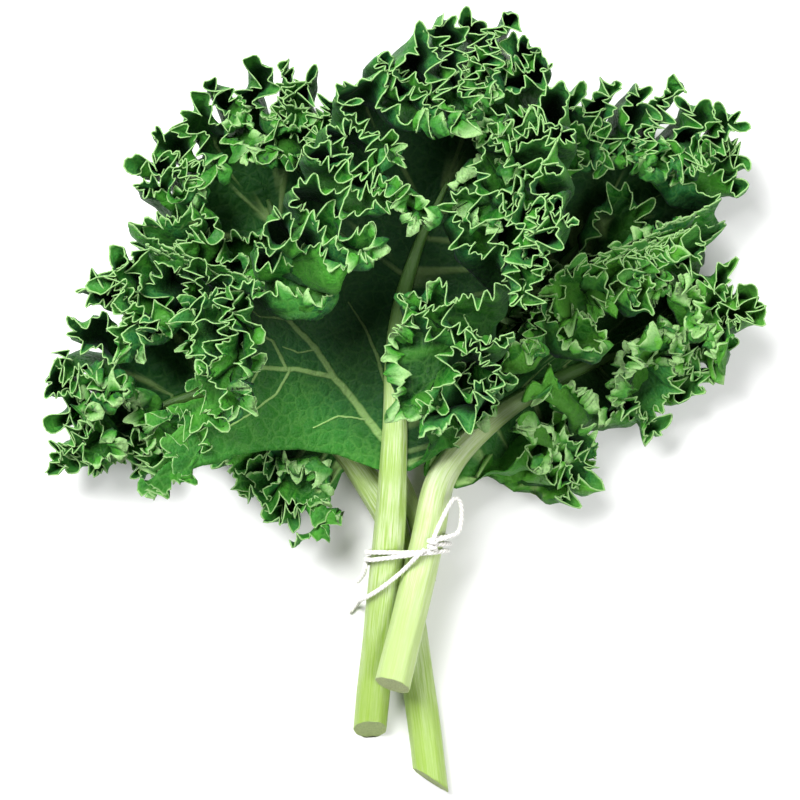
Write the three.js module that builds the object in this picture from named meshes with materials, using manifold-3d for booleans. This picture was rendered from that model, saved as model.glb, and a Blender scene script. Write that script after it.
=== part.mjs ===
// A bunch of curly kale, lying on a table: five leaves, tied round their stalks with a string.
//
// The leaves point along +Y, their cut ends along -Y, and Z is up from the table.
// Each leaf is a stalk, which tapers into the midrib, and a blade. A blade is a strip that runs up one side
// of the midrib, round its tip and down the other side. Its margin is far longer than the midrib, so it is
// thrown into deep folds, and the edge of each fold is crimped again.

import * as THREE from 'three';
import Module from 'manifold-3d';

// ---- driving dimensions, in mm, with angles in degrees ----

// The model's origin, under the middle of its box, as seen from the middle of the tie.
const ORIGIN = { x: -0.8, y: 68.3 };

const BLADE = { thick: 1.0, marginThick: 1.4, ribGap: 1.1, tipGap: 3.5, turnAtTip: 0.08 };
// A fold for every wave of unfolded margin, swinging by reach about a line lean reaches up from the strip,
// and dying out at depth from the margin. full hurries the swing to its full reach, tipward leans the
// rising strip towards the leaf's tip, and swell fattens the folds. lift and tilt vary them as they go.
const FOLD = {
  wave: 19, reach: 20, depth: 52, full: 1.3, lean: 1.28, tipward: 0.24, swell: 3.0, lift: 4, tilt: 14,
};
// The edge swings to and fro by reach from column to column, and tooth draws its turns outwards.
const CRIMP = { column: 8.1, reach: 3.4, depth: 12, tooth: 1.8 };
const STIR = 1.8;                       // how far the folds drift together, out of straight rows
const PRESS = { room: 4, gap: 3, table: 0.5 };
const STALK = { sides: 8, rings: 17 };
const SHORT_EDGE = 0.02;               // edges shorter than this are closed up after a join
const FACING = { rounds: 12, pull: 0.15 };

const STRING = { radius: 1.15, clear: 0.6, sides: 6 };
// The string goes round the stalks a few times, falling by pitch a turn, from a bearing over the right
// stalk to one beside the left stalk. slant is how much higher up the stalks it lies to the right.
const WINDING = { turns: 2.72, from: 72, top: 6.2, pitch: 3.5, slant: 0.15, steps: 14 };
const SHORT_TAIL = [[-20.5, -11.5, 27], [-23.5, -15.5, 22.5]];
const KNOT = { centre: [13.4, 4.2, 46.2], coil: 1.7, turns: 1.75, length: 4.6, steps: 10 };
const BOW = [
  [13.4, 5.5, 46.2], [17.5, 15, 45.6], [23, 25.2, 43.6], [26.5, 26, 42], [28, 20, 41],
  [26.5, 10.5, 41.5], [20.5, 7.5, 43.6], [15, 6, 45.8],
];
// The long loose end: over the right and top stalks, down beside them and out on the table.
const TAIL = { radius: 1.15, sides: 8, steps: 16 };
const TAIL_ROUTE = [
  [9.8, 1.8, 47.7], [5.4, -2.3, 46.6], [0.5, -7.6, 42.2], [-5.5, -13, 39.2], [-12.5, -18.4, 37.6],
  [-19.2, -22.8, 32.8], [-22, -24.6, 24], [-22.4, -25.4, 14.5], [-22.8, -26.4, 6.5], [-24.6, -28.8, 2],
  [-28, -32.2, 1.2],
];

// The rows of a blade from its margin inwards: mm from the margin, then the share of what is left of the
// width. A column of the row spans that many of the margin's columns.
const ROWS = [
  { mm: 0, share: 0, span: 1 },
  { mm: 9, share: 0, span: 2 },
  { mm: 9, share: 0.18, span: 4 },
  { mm: 9, share: 0.46, span: 8 },
  { mm: 9, share: 1, span: 8 },
];

const LEAF_GREEN = 0x2f6b2c;
const STALK_GREEN = 0xb9d48a;
const STRING_WHITE = 0xf2efe6;

// A leaf's midline is x, y, z and radius, from its cut end to its tip. bladeFrom is the share of that
// length where the blade starts. A side's stations go evenly from the blade's foot to its tip, each with
// the place along the blade, the angle off the midrib, the strip's width, its slope at the midrib and at
// the margin, the share of the width that stays flat, the share of the folds' reach, and how far its
// veins bend back.
const LEAVES = {
  top: {
    seed: 3,
    cut: [0.1, 0.95],
    midline: [
      [-17.5, -90.5, 7.8, 8.5], [-8.5, 0, 31.5, 8.2], [-5, 56, 41, 6.5], [-4, 109, 48, 4.6],
      [5, 146, 53, 3], [16, 171, 53, 1.6], [21, 181, 52, 1.2],
    ],
    bladeFrom: 0.48,
    left: [
      [0.00, 66, 112, 0, 40, 0.75, 0.15, 34],
      [0.01, 62, 118, 0, 60, 0.72, 0.5, 34],
      [0.02, 56, 116, 0, 70, 0.68, 0.6, 26],
      [0.05, 53, 114, 0, 78, 0.66, 0.7, 16],
      [0.14, 56, 118, 0, 84, 0.62, 0.85, 8],
      [0.28, 62, 118, 0, 86, 0.56, 1.05, 2],
      [0.44, 68, 112, 0, 96, 0.38, 1.2, 0],
      [0.65, 72, 116, 0, 112, 0.18, 1.3, 0],
      [0.85, 66, 118, 0, 118, 0.2, 1.2, 0],
      [1.00, 0, 110, 0, 124, 0.2, 1.1, 0],
    ],
    right: [
      [0.00, 60, 34, 0, 92, 0.1, 0.6, 0],
      [0.08, 68, 72, 0, 98, 0.1, 1.1, 0],
      [0.25, 70, 98, 0, 102, 0.1, 1.3, 0],
      [0.45, 66, 106, 0, 104, 0.12, 1.3, 0],
      [0.65, 70, 116, 0, 112, 0.14, 1.3, 0],
      [0.85, 66, 118, 0, 118, 0.2, 1.2, 0],
      [1.00, 0, 110, 0, 124, 0.2, 1.1, 0],
    ],
  },
  left: {
    seed: 12,
    cut: [-0.85, 0.3],
    midline: [
      [13, -116, 7.4, 8.5], [7.5, -72, 7.6, 8.4], [-3.5, 0, 14.2, 8], [-14, 27, 16.5, 7.5],
      [-46, 66, 11.5, 5.6], [-86, 80, 6.5, 4], [-114, 75, 5, 2.4], [-130, 68, 4.5, 1.2],
    ],
    bladeFrom: 0.58,
    left: [
      [0.00, 118, 50, -10, 70, 0.2, 0.5, 0],
      [0.12, 104, 65, -28, 92, 0.2, 0.9, 0],
      [0.30, 84, 63, -28, 92, 0.2, 1.1, 0],
      [0.55, 72, 48, -20, 92, 0.2, 0.8, 0],
      [0.80, 60, 55, -10, 96, 0.2, 0.9, 0],
      [1.00, 0, 63, -5, 96, 0.25, 0.8, 0],
    ],
    right: [
      [0.00, 50, 34, 0, 80, 0.1, 0.3, 0],
      [0.20, 62, 82, 0, 96, 0.12, 0.9, 0],
      [0.45, 68, 97, 0, 100, 0.14, 1.3, 0],
      [0.75, 64, 97, 0, 100, 0.22, 1.05, 0],
      [1.00, 0, 63, -5, 96, 0.25, 0.8, 0],
    ],
  },
  upper_left: {
    seed: 17,
    cut: [0, 0],
    midline: [
      [11.6, -16, 15.6, 4.3], [9.2, 0, 17.6, 4.2], [1.5, 27, 16, 4.2], [-16, 62, 11, 4],
      [-41, 114, 6, 3.4], [-62, 157, 5, 2.2], [-69, 176, 5, 1.2],
    ],
    bladeFrom: 0.48,
    left: [
      [0.00, 60, 54, -12, 84, 0.1, 0.7, 0],
      [0.25, 72, 94, -22, 96, 0.16, 1.3, 0],
      [0.50, 74, 103, -20, 100, 0.18, 1.1, 0],
      [0.75, 68, 101, -10, 100, 0.24, 0.9, 0],
      [1.00, 0, 86, -5, 100, 0.24, 0.85, 0],
    ],
    right: [
      [0.00, 50, 44, 0, 92, 0.1, 0.3, 0],
      [0.25, 62, 71, 0, 96, 0.1, 0.4, 0],
      [0.50, 66, 94, 0, 100, 0.14, 0.8, 0],
      [0.75, 66, 103, 0, 100, 0.22, 1.05, 0],
      [1.00, 0, 86, -5, 100, 0.24, 0.85, 0],
    ],
  },
  upper_right: {
    seed: 31,
    cut: [0, 0],
    midline: [
      [11.6, -16, 6.8, 4.3], [10, 0, 8.7, 4.2], [15, 27, 9.5, 4.2], [26, 64, 8, 4],
      [56, 116, 5.5, 3.4], [92, 156, 4.5, 2.2], [107, 171, 4.5, 1.2],
    ],
    bladeFrom: 0.45,
    left: [
      [0.00, 50, 44, 0, 92, 0.1, 0.3, 0],
      [0.25, 62, 71, 0, 96, 0.1, 0.4, 0],
      [0.50, 70, 97, 0, 100, 0.14, 0.8, 0],
      [0.75, 66, 103, 0, 100, 0.22, 1.05, 0],
      [1.00, 0, 84, -5, 100, 0.24, 0.85, 0],
    ],
    right: [
      [0.00, 60, 40, -20, 84, 0.1, 0.9, 0],
      [0.25, 60, 65, -22, 90, 0.12, 1.1, 0],
      [0.50, 66, 92, -20, 96, 0.16, 1.2, 0],
      [0.75, 68, 103, -10, 98, 0.24, 1.05, 0],
      [1.00, 0, 84, -5, 100, 0.24, 0.85, 0],
    ],
  },
  right: {
    seed: 41,
    cut: [-0.1, 0.4],
    midline: [
      [-6, -66, 34.5, 9], [10, 0, 34.4, 8.6], [19, 38, 31, 7.5], [45, 66, 22, 5.6],
      [80, 87, 10.5, 3.8], [108, 98, 5, 2.2], [122, 102, 4.5, 1.2],
    ],
    bladeFrom: 0.44,
    left: [
      [0.00, 60, 40, 0, 80, 0.1, 0.4, 0],
      [0.20, 68, 76, 0, 98, 0.1, 1.2, 0],
      [0.50, 72, 97, 0, 98, 0.14, 1.3, 0],
      [0.80, 68, 99, 0, 96, 0.26, 1.05, 0],
      [1.00, 0, 69, -5, 96, 0.22, 0.8, 0],
    ],
    right: [
      [0.00, 50, 36, -10, 84, 0.2, 0.6, 0],
      [0.15, 76, 63, -25, 88, 0.35, 0.8, 0],
      [0.35, 76, 69, -30, 92, 0.3, 1, 0],
      [0.60, 70, 61, -28, 92, 0.2, 1.1, 0],
      [0.80, 58, 59, -15, 96, 0.2, 1.05, 0],
      [1.00, 0, 69, -5, 96, 0.22, 0.8, 0],
    ],
  },
};

// The four lower leaves share the table by bearing from the tie. A border is its bearing at every 40 mm
// out from the tie, and leans over by slant, so that one leaf laps over the next; level is the height at
// which the bearings hold.
const BORDER_STEP = 40;
const BORDERS = {
  left_and_upper_left: { bearings: [107, 113.5, 123, 131, 136, 138], slant: -0.8, level: 22 },
  upper_left_and_upper_right: { bearings: [88, 88, 88, 88, 88, 88], slant: 0, level: 0 },
  upper_right_and_right: { bearings: [82, 62.5, 55, 49, 45, 42], slant: 0.8, level: 22 },
};
const CELLS = {
  left: { above: 'left_and_upper_left' },
  upper_left: { above: 'upper_left_and_upper_right', below: 'left_and_upper_left' },
  upper_right: { above: 'upper_right_and_right', below: 'upper_left_and_upper_right' },
  right: { below: 'upper_right_and_right' },
};

// The top leaf lies on a shallow trough, its bottom under that leaf's midrib.
const TROUGH = { under: 5.5, flat: 20, rise: 0.5 };

// ---- numbers and vectors ----

const clamp = (x, low, high) => Math.min(Math.max(x, low), high);
const smooth = (x) => {
  const t = clamp(x, 0, 1);
  return t * t * (3 - 2 * t);
};
const mix = (a, b, t) => a.map((value, i) => value + t * (b[i] - value));
const radians = (degrees) => degrees * Math.PI / 180;

const plus = (a, b, k = 1) => [a[0] + k * b[0], a[1] + k * b[1], a[2] + k * b[2]];
const minus = (a, b) => [a[0] - b[0], a[1] - b[1], a[2] - b[2]];
const times = (a, k) => [a[0] * k, a[1] * k, a[2] * k];
const dot = (a, b) => a[0] * b[0] + a[1] * b[1] + a[2] * b[2];
const cross = (a, b) => [
  a[1] * b[2] - a[2] * b[1], a[2] * b[0] - a[0] * b[2], a[0] * b[1] - a[1] * b[0],
];
const unit = (a) => times(a, 1 / Math.max(Math.hypot(...a), 1e-9));

// A smooth curve through points that are evenly spaced along x, one apart.
function spline(points, x) {
  const last = points.length - 1;
  const at = clamp(x, 0, last);
  const i = Math.min(Math.floor(at), last - 1);
  const f = at - i;
  const b = points[i];
  const c = points[i + 1];
  const a = i > 0 ? points[i - 1] : b.map((value, k) => 2 * value - c[k]);
  const d = i + 2 <= last ? points[i + 2] : c.map((value, k) => 2 * value - b[k]);
  return b.map((_, k) => 0.5 * (2 * b[k] + (c[k] - a[k]) * f
    + (2 * a[k] - 5 * b[k] + 4 * c[k] - d[k]) * f * f
    + (3 * b[k] - a[k] - 3 * c[k] + d[k]) * f * f * f));
}

// Where x lies between two ascending values of xs, read off ys.
function lookUp(x, xs, ys) {
  let low = 0;
  let high = xs.length - 1;
  while (high - low > 1) {
    const middle = (low + high) >> 1;
    if (xs[middle] <= x) low = middle;
    else high = middle;
  }
  const f = clamp((x - xs[low]) / Math.max(xs[high] - xs[low], 1e-12), 0, 1);
  return ys[low] + f * (ys[high] - ys[low]);
}

// Seeded draws from 0 to 1.
function drawer(seed) {
  let state = seed;
  const draw = () => {
    state = state * 16807 % 2147483647;
    return state / 2147483647;
  };
  for (let skipped = 0; skipped < 5; skipped += 1) draw();
  return draw;
}

// A seeded, smooth, uneven wave of x, mostly from -1 to 1.
function wobble(seed) {
  const draw = drawer(seed);
  const terms = [];
  for (let k = 0; k < 4; k += 1) {
    const rate = 1 + 0.75 * k + 0.4 * draw();
    terms.push({ rate, shift: 2 * Math.PI * draw(), size: 1 / (1 + 0.35 * k) });
  }
  const whole = 0.6 * terms.reduce((sum, term) => sum + term.size, 0);
  return (x) => terms.reduce((sum, t) => sum + t.size * Math.sin(t.rate * x + t.shift), 0) / whole;
}

// ---- a leaf ----

const RIB_STEPS = 600;
const MARGIN_STEPS = 4000;

class Leaf {
  constructor(name, spec) {
    this.name = name;
    this.spec = spec;
    this.setRib();
    this.tilt = wobble(spec.seed * 31 + 8);
    this.phase = wobble(spec.seed * 7 + 1);
    this.reach = wobble(spec.seed * 11 + 2);
    this.lift = wobble(spec.seed * 13 + 3);
    this.step = wobble(spec.seed * 17 + 4);
    this.crimp = wobble(spec.seed * 19 + 5);
    this.places = Array.from({ length: MARGIN_STEPS + 1 }, (_, i) => i / MARGIN_STEPS);
    this.plain = this.lengths((place) => this.base(place, 1));
    this.folded = this.lengths((place) => this.folds(place, 1));
    const coarsest = ROWS[ROWS.length - 1].span;
    this.columns = coarsest * Math.round(this.folded[MARGIN_STEPS] / CRIMP.column / coarsest);
  }

  setRib() {
    const { midline } = this.spec;
    this.rib = [];
    for (let i = 0; i <= RIB_STEPS; i += 1) {
      this.rib.push(spline(midline, i / RIB_STEPS * (midline.length - 1)));
    }
    let length = 0;
    this.ribLengths = this.rib.map((point, i) => {
      if (i > 0) length += Math.hypot(...minus(point, this.rib[i - 1]));
      return length;
    });
    this.ribLengths = this.ribLengths.map((value) => value / length);
    this.ribSteps = this.rib.map((_, i) => i);
    this.ribWays = this.rib.map((_, i) => {
      const before = this.rib[Math.max(i - 1, 0)];
      return unit(minus(this.rib[Math.min(i + 1, RIB_STEPS)], before));
    });
  }

  // The midline's centre, direction and radius, at a share of its length.
  ribAt(share) {
    const at = clamp(lookUp(share, this.ribLengths, this.ribSteps), 0, RIB_STEPS);
    const i = Math.min(Math.floor(at), RIB_STEPS - 1);
    const point = mix(this.rib[i], this.rib[i + 1], at - i);
    const way = unit(mix(this.ribWays[i], this.ribWays[i + 1], at - i));
    return { centre: point.slice(0, 3), along: way, radius: point[3] };
  }

  // Running lengths of a line along the margin.
  lengths(line) {
    let length = 0;
    let last = line(0);
    return this.places.map((place) => {
      const point = line(place);
      length += Math.hypot(...minus(point, last));
      last = point;
      return length;
    });
  }

  station(place) {
    const side = place < 0.5 ? this.spec.left : this.spec.right;
    return spline(side, (1 - Math.abs(2 * place - 1)) * (side.length - 1));
  }

  widthAt(place) {
    return Math.max(this.station(place)[2], 4);
  }

  // The unfolded strip. place goes from 0 at the left foot, over 0.5 at the tip, to 1 at the right foot,
  // and out from 0 at the midrib to 1 at the margin.
  base(place, out) {
    const [along, angle, , slope0, slope1, flatShare, , sweep] = this.station(place);
    const width = this.widthAt(place);
    const { bladeFrom } = this.spec;
    const rib = this.ribAt(bladeFrom + (1 - bladeFrom) * clamp(along, 0, 1));
    const up = unit(plus([0, 0, 1], rib.along, -rib.along[2]));
    const side = cross(up, rib.along);
    const turn = radians(angle + sweep * out);
    const hand = place < 0.5 ? 1 : -1;
    const outward = plus(times(rib.along, Math.cos(turn)), side, hand * Math.sin(turn));

    const flat = clamp(flatShare, 0, 0.95) * width;
    const run = out * width;
    const straight = Math.min(run, flat);
    const a0 = radians(slope0);
    const a1 = radians(slope1 + FOLD.tilt * this.tilt(place * 26));
    let bend = (a1 - a0) / (width - flat);
    if (Math.abs(bend) < 1e-5) bend = 1e-5;
    const a = a0 + bend * Math.max(run - flat, 0);
    const x = straight * Math.cos(a0) + (Math.sin(a) - Math.sin(a0)) / bend;
    const z = straight * Math.sin(a0) + (Math.cos(a0) - Math.cos(a)) / bend;
    const beside = smooth((1 - along) / BLADE.turnAtTip);
    const root = radians(90 * beside);
    const rootWay = plus(times(rib.along, Math.cos(root)), side, hand * Math.sin(root));
    const gap = BLADE.tipGap + beside * (BLADE.ribGap - BLADE.tipGap);
    const foot = plus(rib.centre, rootWay, rib.radius + gap);
    return plus(plus(foot, outward, x), plus(up, rib.along, FOLD.tipward), z);
  }

  // The directions along the margin, away from the midrib and square to both, on a surface.
  directions(surface, place, out, step) {
    const ahead = surface(place + step, out);
    const behind = surface(place - step, out);
    const outer = surface(place, Math.min(out + 0.01, 1));
    const inner = surface(place, Math.max(out - 0.01, 0));
    const along = unit(minus(ahead, behind));
    const away = unit(minus(outer, inner));
    return { along, away, square: unit(cross(along, away)) };
  }

  // The strip with its deep folds.
  folds(place, out) {
    const at = clamp(place, 0, 1);
    const width = this.widthAt(at);
    const share = Math.max(this.station(at)[6], 0);
    const length = this.plain ? lookUp(at, this.places, this.plain) : 0;
    const whole = this.plain[MARGIN_STEPS];
    const waves = length / FOLD.wave;
    const depth = Math.min(FOLD.depth, width);
    const edge = smooth(FOLD.full * (1 - (1 - out) * width / depth));
    const ends = smooth(Math.min(length, whole - length) / (0.5 * FOLD.wave));
    const angle = 2 * Math.PI * waves + 0.8 * this.phase(waves * 1.2);
    const reach = FOLD.reach * share * (1 + 0.22 * this.reach(waves * 1.1));
    const flatStrip = (p, o) => this.base(clamp(p, 0, 1), o);
    const { along, away, square } = this.directions(flatStrip, at, out, 0.0004);
    let point = this.base(at, out);
    point = plus(point, square, edge * ends * reach * (Math.sin(angle) + FOLD.lean));
    point = plus(point, along, -edge * ends * share * FOLD.swell * Math.sin(2 * angle));
    point = plus(point, away, edge * FOLD.lift * this.lift(length / 24));
    return stir(point, edge * STIR);
  }

  // The place on the strip of a column of the margin, which may be a fraction.
  placeOf(column) {
    const ends = smooth(Math.min(column, this.columns - column) / 4);
    const even = column + 0.28 * this.step(column * 0.55) * ends;
    return lookUp(even / this.columns * this.folded[MARGIN_STEPS], this.folded, this.places);
  }

  // The whole blade's middle surface: folds, crimps, and pressed into the leaf's own room.
  surface(column, out) {
    const place = this.placeOf(clamp(column, 0, this.columns));
    const edge = smooth(1 - (1 - out) * this.widthAt(place) / CRIMP.depth);
    let point = this.folds(place, out);
    if (edge > 0) {
      const { away, square } = this.directions((p, o) => this.folds(p, o), place, out, 0.0004);
      const wave = Math.cos(Math.PI * column);
      const reach = CRIMP.reach * (1 + 0.35 * this.crimp(column * 0.7));
      point = plus(point, square, edge * reach * wave);
      point = plus(point, away, edge * CRIMP.tooth * (Math.abs(wave) ** 1.5 - 0.4));
    }
    return press(this.name, point);
  }
}

// Moves neighbouring folds together out of their straight rows.
function stir([x, y, z], reach) {
  return [
    x + reach * (Math.sin(0.23 * y + 0.05 * x + 1.3) + 0.7 * Math.sin(0.41 * y - 0.17 * x + 0.7)),
    y + reach * (Math.sin(0.21 * x - 0.07 * y + 2.1) + 0.7 * Math.sin(0.37 * x + 0.19 * y + 4)),
    z + reach * Math.sin(0.17 * x + 0.19 * y),
  ];
}

// A distance that may not fall below 0: short ones are squeezed, so that their order stays.
function squeeze(distance, room) {
  return distance > room ? distance : room * Math.exp((distance - room) / room);
}

function troughAt(x, y) {
  const { midline } = LEAVES.top;
  const middle = spline(midline, lookUp(y, midline.map((point) => point[1]), midline.map((_, i) => i)));
  return middle[2] - TROUGH.under + TROUGH.rise * Math.max(Math.abs(x - middle[0]) - TROUGH.flat, 0);
}

// How far a point lies beyond a border, towards greater bearings.
function beyond(name, distance, bearing, z) {
  const { bearings, slant, level } = BORDERS[name];
  const border = radians(spline(bearings.map((value) => [value]), distance / BORDER_STEP - 1)[0]);
  const ease = smooth(distance / 110 - 0.45);
  return (bearing - border) * distance - ease * slant * (z - level);
}

// Keeps a leaf over the table, within its borders, and above or below the trough.
function press(name, [x, y, z]) {
  const half = PRESS.gap / 2;
  let [px, py, pz] = [x, y, z];
  const cell = CELLS[name];
  if (cell) {
    const roofed = troughAt(px, py) - half;
    pz = roofed - squeeze(roofed - pz, PRESS.room);
    const distance = Math.hypot(x, y);
    let bearing = Math.atan2(y, x);
    if (bearing < -Math.PI / 2) bearing += 2 * Math.PI;
    if (cell.above) {
      const at = beyond(cell.above, distance, bearing, pz) - half;
      bearing += (squeeze(at, PRESS.room) - at) / distance;
    }
    if (cell.below) {
      const at = -beyond(cell.below, distance, bearing, pz) - half;
      bearing -= (squeeze(at, PRESS.room) - at) / distance;
    }
    px = distance * Math.cos(bearing);
    py = distance * Math.sin(bearing);
    const roof = troughAt(px, py) - half;
    pz = Math.min(pz, roof);
  } else {
    const floor = troughAt(px, py) + half;
    pz = floor + squeeze(pz - floor, PRESS.room);
  }
  return [px, py, PRESS.table + Math.max(squeeze(pz - PRESS.table, 2) - 0.05, 0)];
}

// ---- meshes ----

function geometryOf(points, triangles) {
  const geometry = new THREE.BufferGeometry();
  const moved = points.flatMap(([x, y, z]) => [x - ORIGIN.x, y - ORIGIN.y, z]);
  geometry.setAttribute('position', new THREE.Float32BufferAttribute(moved, 3));
  geometry.setIndex(volumeOf(points, triangles) > 0
    ? triangles.flat() : triangles.flatMap(([a, b, c]) => [a, c, b]));
  geometry.computeVertexNormals();
  return geometry;
}

function volumeOf(points, triangles) {
  return triangles.reduce((sum, [a, b, c]) => sum + dot(points[a], cross(points[b], points[c])) / 6, 0);
}

// At each point, the way that faces all the triangles round it as squarely as it can.
function facingWays(points, triangles) {
  const round = points.map(() => []);
  for (const corners of triangles) {
    const [a, b, c] = corners.map((id) => points[id]);
    const normal = unit(cross(minus(b, a), minus(c, a)));
    for (const id of corners) round[id].push(normal);
  }
  return round.map((normals) => {
    let way = unit(normals.reduce((sum, normal) => plus(sum, normal), [0, 0, 0]));
    for (let k = 0; k < FACING.rounds; k += 1) {
      const worst = normals.reduce((least, n) => (dot(n, way) < dot(least, way) ? n : least));
      way = unit(plus(way, worst, FACING.pull));
    }
    return way;
  });
}

// Both faces of a blade, split into triangles alike, with a rim round them.
function bladeGeometry(leaf) {
  const middle = [];
  const halves = [];
  const rows = ROWS.map((row) => {
    const ids = [];
    for (let column = 0; column <= leaf.columns; column += row.span) {
      const width = leaf.widthAt(leaf.placeOf(column));
      const out = 1 - (row.mm + row.share * (width - row.mm)) / width;
      ids.push(middle.length);
      middle.push(leaf.surface(column, Math.max(out, 0)));
      halves.push((row.span === 1 ? BLADE.marginThick : BLADE.thick) / 2);
    }
    return ids;
  });

  const face = [];
  for (let r = 1; r < rows.length; r += 1) {
    const fine = rows[r - 1];
    const coarse = rows[r];
    const same = fine.length === coarse.length;
    for (let i = 0; i + 1 < coarse.length; i += 1) {
      if (same) {
        face.push([coarse[i], coarse[i + 1], fine[i + 1]], [coarse[i], fine[i + 1], fine[i]]);
      } else {
        face.push([coarse[i], fine[2 * i + 1], fine[2 * i]]);
        face.push([coarse[i], coarse[i + 1], fine[2 * i + 1]]);
        face.push([coarse[i + 1], fine[2 * i + 2], fine[2 * i + 1]]);
      }
    }
  }

  const offsets = facingWays(middle, face).map((way, i) => times(way, halves[i]));
  const count = middle.length;
  const onTable = ([x, y, z]) => [x, y, Math.max(z, 0)];
  const points = [
    ...middle.map((point, i) => onTable(plus(point, offsets[i], -1))),
    ...middle.map((point, i) => onTable(plus(point, offsets[i]))),
  ];
  const loop = [
    ...rows[0],
    ...rows.slice(1).map((ids) => ids[ids.length - 1]),
    ...rows[rows.length - 1].slice(0, -1).reverse(),
    ...rows.slice(1, -1).map((ids) => ids[0]).reverse(),
  ];
  const triangles = [
    ...face.map(([a, b, c]) => [a, c, b]),
    ...face.map(([a, b, c]) => [a + count, b + count, c + count]),
  ];
  loop.forEach((a, i) => {
    const b = loop[(i + 1) % loop.length];
    triangles.push([b, a, a + count], [b, a + count, b + count]);
  });
  return geometryOf(points, triangles);
}

// A closed tube through rings of points.
function tubeGeometry(rings) {
  const sides = rings[0].length;
  const triangles = [];
  for (let r = 0; r + 1 < rings.length; r += 1) {
    for (let s = 0; s < sides; s += 1) {
      const a = r * sides + s;
      const b = r * sides + (s + 1) % sides;
      triangles.push([a, b, b + sides], [a, b + sides, a + sides]);
    }
  }
  const last = (rings.length - 1) * sides;
  for (let s = 1; s + 1 < sides; s += 1) {
    triangles.push([0, s + 1, s], [last, last + s, last + s + 1]);
  }
  return geometryOf(rings.flat(), triangles);
}

// A ring of points round a centre, square to the way along. The first one is turned half a side from up.
function ringOf(centre, along, radius, sides) {
  const up = unit(plus([0, 0, 1], along, -along[2]));
  const side = cross(up, along);
  return Array.from({ length: sides }, (_, s) => {
    const turn = 2 * Math.PI * (s + 0.5) / sides;
    return plus(plus(centre, side, radius * Math.cos(turn)), up, radius * Math.sin(turn));
  });
}

// A stalk and its midrib. Its end is cut aslant, and where it lies on the table it is flat.
function stalkGeometry(leaf) {
  const rings = Array.from({ length: STALK.rings + 1 }, (_, i) => {
    const { centre, along, radius } = leaf.ribAt(i / STALK.rings);
    const ring = ringOf(centre, along, radius, STALK.sides);
    const slanted = i > 0 ? ring : ring.map((point) => {
      const [x, , z] = minus(point, centre);
      return plus(point, along, leaf.spec.cut[0] * x + leaf.spec.cut[1] * z);
    });
    return slanted.map(([x, y, z]) => [x, y, Math.max(z, 0)]);
  });
  return tubeGeometry(rings);
}

// ---- the string ----

// Where a stalk's middle is at a given y, with the radius of its slanting section.
function stalkSection({ midline }, y) {
  const ys = midline.map((point) => point[1]);
  const [x, , z, radius] = spline(midline, lookUp(y, ys, ys.map((_, i) => i)));
  return { x, z, radius: 1.05 * radius };
}

// The point of a taut string round all the stalks, at a bearing about the middle of the bunch.
function windingPoint(bearing, y) {
  const way = [Math.cos(bearing), Math.sin(bearing)];
  const sections = Object.values(LEAVES).map((spec) => stalkSection(spec, y));
  const reachOf = (section) => section.x * way[0] + section.z * way[1] + section.radius;
  const outer = sections.reduce((best, section) => (reachOf(section) > reachOf(best) ? section : best));
  const away = outer.radius + STRING.clear + STRING.radius;
  return [outer.x + away * way[0], y, outer.z + away * way[1]];
}

function windingRoute() {
  const count = Math.round(WINDING.turns * WINDING.steps);
  const route = Array.from({ length: count + 1 }, (_, i) => {
    const turn = i / WINDING.steps;
    const bearing = radians(WINDING.from) - 2 * Math.PI * turn;
    const y = WINDING.top - WINDING.pitch * turn;
    const [x] = windingPoint(bearing, y);
    return windingPoint(bearing, y + WINDING.slant * (x - 8));
  });
  return [...route, ...SHORT_TAIL];
}

function knotRoute() {
  return Array.from({ length: KNOT.steps + 1 }, (_, i) => {
    const share = i / KNOT.steps;
    const turn = 2 * Math.PI * KNOT.turns * share;
    const offset = [KNOT.coil * Math.cos(turn), KNOT.length * (share - 0.5), KNOT.coil * Math.sin(turn)];
    return plus(KNOT.centre, offset);
  });
}

// A smooth line through points, in even shares of their number.
function smoothRoute(points, steps) {
  return Array.from({ length: steps + 1 }, (_, i) => spline(points, i / steps * (points.length - 1)));
}

// A round cord along a route, its rings carried on from one to the next without a twist.
function cordGeometry(route, radius, sides) {
  let side = null;
  const rings = route.map((point, i) => {
    const before = route[Math.max(i - 1, 0)];
    const along = unit(minus(route[Math.min(i + 1, route.length - 1)], before));
    const guess = side || cross(along, Math.abs(along[2]) < 0.9 ? [0, 0, 1] : [1, 0, 0]);
    side = unit(plus(guess, along, -dot(guess, along)));
    const up = cross(side, along);
    return Array.from({ length: sides }, (_, s) => {
      const turn = 2 * Math.PI * s / sides;
      return plus(plus(point, side, radius * Math.cos(turn)), up, radius * Math.sin(turn));
    });
  });
  return tubeGeometry(rings);
}

// ---- joining ----

const wasm = await Module();
wasm.setup();

function solidOf(geometry) {
  return new wasm.Manifold(new wasm.Mesh({
    numProp: 3,
    vertProperties: geometry.getAttribute('position').array,
    triVerts: new Uint32Array(geometry.getIndex().array),
  }));
}

// The largest body of a solid, as a geometry.
function largestBody(solid) {
  const bodies = solid.decompose();
  const body = bodies.reduce((best, other) => (other.volume() > best.volume() ? other : best));
  const { vertProperties, triVerts } = body.getMesh();
  const geometry = new THREE.BufferGeometry();
  geometry.setAttribute('position', new THREE.BufferAttribute(vertProperties, 3));
  geometry.setIndex(new THREE.BufferAttribute(triVerts, 1));
  geometry.computeVertexNormals();
  return geometry;
}

function tie() {
  const winding = solidOf(cordGeometry(windingRoute(), STRING.radius, STRING.sides));
  const knot = solidOf(cordGeometry(knotRoute(), STRING.radius, STRING.sides));
  const bow = solidOf(cordGeometry(smoothRoute(BOW, 12), STRING.radius, STRING.sides));
  return largestBody(winding.add(knot).add(bow).simplify(SHORT_EDGE));
}

// ---- the bunch ----

const bunch = new THREE.Group();
bunch.name = 'kale_bunch';

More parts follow.
